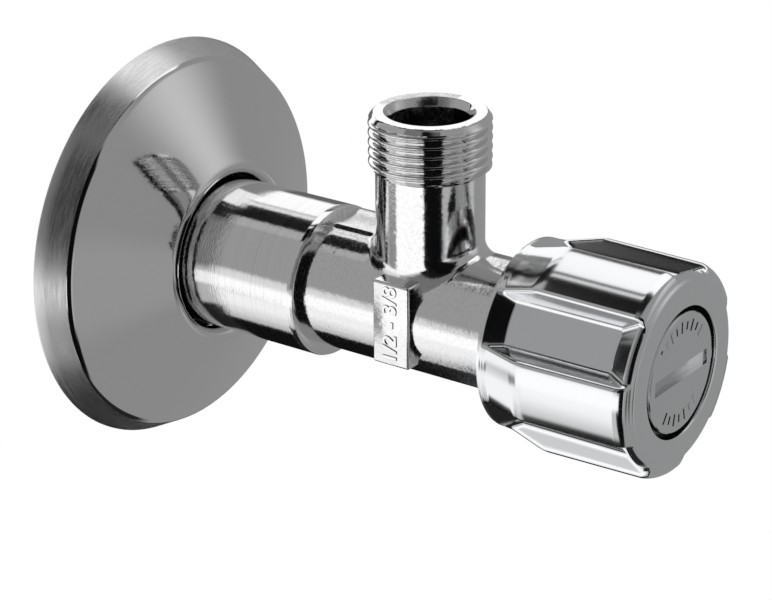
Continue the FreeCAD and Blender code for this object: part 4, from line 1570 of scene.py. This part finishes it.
@dataclass
class Studio:
    """Camera, floor and light."""

    azimuth: float = 35.698
    elevation: float = 23.083
    roll: float = -0.554
    distance: float = 353.276
    focal_pixels: float = 2562.538
    width_pixels: float = 772.0
    aim: float = 40.0
    shift_right: float = -1.05
    shift_up: float = -0.657
    floor_height: float = -0.25
    floor_reach: float = 3.0
    base_level: float = 0.33
    rows: tuple[Row, ...] = (
        # Strips along the valve, as its inlet side sees them
        Row(-1.0, -0.495, 0.012, (
            Card(164.0, 212.0, 0.14, 8.0, 4.0),
            Card(119.5, 165.0, 1.22, 1.5, 9.0),
            Card(116.5, 119.5, 0.50, 1.5, 1.5),
            Card(109.0, 116.5, 0.95, 4.0, 1.5),
            Card(84.0, 109.0, 0.010, 3.0, 4.0),
            Card(70.0, 84.0, 0.47, 2.0, 3.0),
            Card(-1.0, 70.0, 0.37, 9.0, 2.0),
            Card(-81.0, 2.0, 0.62, 5.0, 4.0),
            Card(-70.0, 0.0, 0.86, 12.0, 8.0),
            Card(-56.0, -15.0, 1.10, 18.0, 20.0),
            Card(-150.0, -81.5, 0.006, 2.0, 4.0),
        )),
        Row(-1.0, -0.66, 0.03, (Card(-88.0, -14.0, 1.15, 3.0, 10.0),)),
        # The same strips, as its knob side sees them
        Row(-0.495, -0.3, 0.012, (
            Card(-148.0, -63.5, 0.012, 2.0, 3.0),
            Card(-63.5, -4.5, 0.72, 6.0, 4.0),
            Card(-50.0, -9.5, 1.16, 28.0, 7.0),
            Card(-4.5, 67.5, 0.38, 4.0, 4.0),
            Card(67.5, 91.0, 0.004, 4.0, 1.0),
            Card(91.0, 95.0, 1.0, 1.0, 1.0),
            Card(95.0, 98.5, 0.03, 0.8, 0.8),
            Card(98.5, 130.5, 1.22, 1.0, 1.0),
            Card(130.5, 136.5, 0.02, 1.0, 3.0),
            Card(137.0, 184.0, 0.30, 2.0, 8.0),
        )),
        # And as the rosette's rim sees them
        Row(-0.3, 0.3, 0.03, (
            Card(-114.0, -60.0, 0.02, 8.0, 8.0),
            Card(-59.0, -2.0, 0.64, 8.0, 8.0),
            Card(-2.0, 73.0, 0.19, 8.0, 3.0),
            Card(73.0, 97.0, 0.01, 3.0, 2.0),
            Card(99.0, 131.0, 1.25, 4.0, 4.0),
        )),
        Row(0.14, 0.86, 0.03, (Card(-75.0, 62.0, 0.010, 8.0, 8.0),)),
        # Upright cards round it
        Row(-27.0, -19.0, 2.5, (
            Card(201.0, 250.0, 0.006, 4.0, 3.0),
            Card(190.0, 201.0, 0.9, 2.0, 2.0),
            Card(168.0, 190.0, 0.28, 2.0, 2.0),
        ), True),
        Row(-27.0, -10.0, 3.0, (Card(105.0, 166.0, 1.25, 3.0, 3.0),), True),
        Row(-60.0, 55.0, 6.0, (Card(67.0, 104.0, 0.004, 3.0, 3.0),), True),
        Row(-35.0, -5.0, 6.0, (
            Card(48.0, 66.0, 0.50, 6.0, 4.0),
            Card(26.0, 48.0, 0.38, 6.0, 6.0),
        ), True),
        Row(-28.0, -18.0, 4.0, (Card(4.0, 24.0, 0.10, 10.0, 6.0),), True),
        Row(-28.0, -16.0, 4.0, (Card(-12.0, 3.0, 0.55, 3.0, 3.0),), True),
        Row(2.0, 36.0, 16.0, (Card(-16.0, 10.0, 0.68, 26.0, 26.0),), True),
    )

    def frame_vectors(self) -> tuple[Vector, Vector, Vector]:
        """Right, up and back of the camera.

        Returns:
            Three directions of length one.
        """
        az, el, roll = (math.radians(a) for a in (self.azimuth, self.elevation, self.roll))
        level = Vector((math.cos(az), math.sin(az), 0))
        back = Vector((math.sin(az) * math.cos(el), -math.cos(az) * math.cos(el), math.sin(el)))
        upright = back.cross(level)
        right = level * math.cos(roll) + upright * math.sin(roll)
        up = -level * math.sin(roll) + upright * math.cos(roll)
        return right, up, back

    def build_camera(self) -> None:
        """Stands the camera where the photograph was taken from."""
        right, up, back = self.frame_vectors()
        data = bpy.data.cameras.new("camera")
        data.sensor_fit = "HORIZONTAL"
        data.sensor_width = 36.0
        data.lens = self.focal_pixels / self.width_pixels * data.sensor_width
        data.clip_start = 0.01
        camera = link_object("camera", data)
        place = Vector((self.aim, 0, 0)) + back * self.distance
        place = place + right * self.shift_right + up * self.shift_up
        turn = Matrix((right, up, back)).transposed().to_4x4()
        camera.matrix_world = Matrix.Translation(place * MM) @ turn
        bpy.context.scene.camera = camera

    def build_floor(self) -> None:
        """A plain pale floor, white to the camera."""
        bm = bmesh.new()
        bmesh.ops.create_grid(
            bm, x_segments=1, y_segments=1, size=self.floor_reach,
            matrix=Matrix.Translation((0, 0, self.floor_height)),
        )
        material = bpy.data.materials.new("floor_paper")
        material.use_nodes = True
        graph = Graph(material.node_tree)
        rays = graph.add("ShaderNodeLightPath")
        paper = graph.add("ShaderNodeBsdfPrincipled", {"Base Color": grey(0.85), "Roughness": 0.9})
        white = graph.add("ShaderNodeEmission", {"Color": grey(1.0), "Strength": 1.0})
        seen = graph.add(
            "ShaderNodeMixShader", {0: rays["Is Camera Ray"], 1: paper["BSDF"], 2: white["Emission"]}
        )
        graph.add("ShaderNodeOutputMaterial", {"Surface": seen["Shader"]})
        floor = mesh_object("floor", bm)
        floor.data.materials.append(material)
        floor.visible_glossy = False

    def build_light(self) -> None:
        """Soft light from all round, white behind the valve and with the studio's cards in its metal."""
        world = bpy.data.worlds.new("studio")
        world.use_nodes = True
        world.cycles.sampling_method = "NONE"
        bpy.context.scene.world = world
        graph = Graph(world.node_tree)
        way = graph.add("ShaderNodeTexCoord")["Generated"]
        parts = graph.add("ShaderNodeSeparateXYZ", {"Vector": way})
        level = self.studio_level(parts["X"], parts["Y"], parts["Z"])
        rays = graph.add("ShaderNodeLightPath")
        glossy = rays["Is Glossy Ray"]
        strength = level * glossy + (1.0 - glossy)
        light = graph.add("ShaderNodeBackground", {"Color": grey(1.0), "Strength": strength})
        graph.add("ShaderNodeOutputWorld", {"Surface": light["Background"]})
        bpy.context.scene.view_settings.view_transform = "Standard"

    def studio_level(self, x: Signal, y: Signal, z: Signal) -> Signal:
        """How bright the studio is in one direction.

        Args:
            x: The direction's part along the inlet axis.
            y: Its part away from the camera's side.
            z: Its part upwards.

        Returns:
            The level as a signal.
        """
        az = math.radians(self.azimuth)
        to_right = x * math.cos(az) + y * math.sin(az)
        to_camera = x * math.sin(az) - y * math.cos(az)
        level = x * 0.0 + self.base_level
        height = z.work("ARCSINE", z) * (180 / math.pi)
        for row in self.rows:
            for card in row.cards:
                half = (card.end - card.start) / 2
                turn = math.radians((card.start + card.end) / 2)
                if row.upright:
                    ahead = to_right * math.cos(turn) + to_camera * math.sin(turn)
                    aside = to_camera * math.cos(turn) - to_right * math.sin(turn)
                    reach = height
                else:
                    ahead = z * math.sin(turn) - y * math.cos(turn)
                    aside = z * math.cos(turn) + y * math.sin(turn)
                    reach = x
                angle = aside.work("ARCTAN2", aside, ahead) * (180 / math.pi)
                share = self.edge(angle, -half, card.soft_start / 2)
                share = share * (1.0 - self.edge(angle, half, card.soft_end / 2))
                share = share * self.edge(reach, row.low, row.soft)
                share = share * (1.0 - self.edge(reach, row.high, row.soft))
                level = level + (card.level - level) * share
        return level

    @staticmethod
    def edge(value: Signal, place: float, soft: float) -> Signal:
        """Runs from 0 to 1 as a value passes a place."""
        return value.step(place - soft, place + soft)


def dress_frame() -> None:
    """Gives every CAD node that stays its finish."""
    for name, finish in CARRIED_OVER.items():
        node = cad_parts[name]
        material = finish.material()
        for slot in node.material_slots:
            slot.material = material
        if not node.material_slots:
            node.data.materials.append(material)
        log.info("%s: %s", name, finish.name)


def main() -> None:
    """Builds the valve piece by piece, then the studio round it."""
    WallRosette().build()
    ValveBody().build()
    Knob().build()
    FilterPlug().build()
    dress_frame()
    studio = Studio()
    studio.build_camera()
    studio.build_floor()
    studio.build_light()


if __name__ == "__main__":
    main()
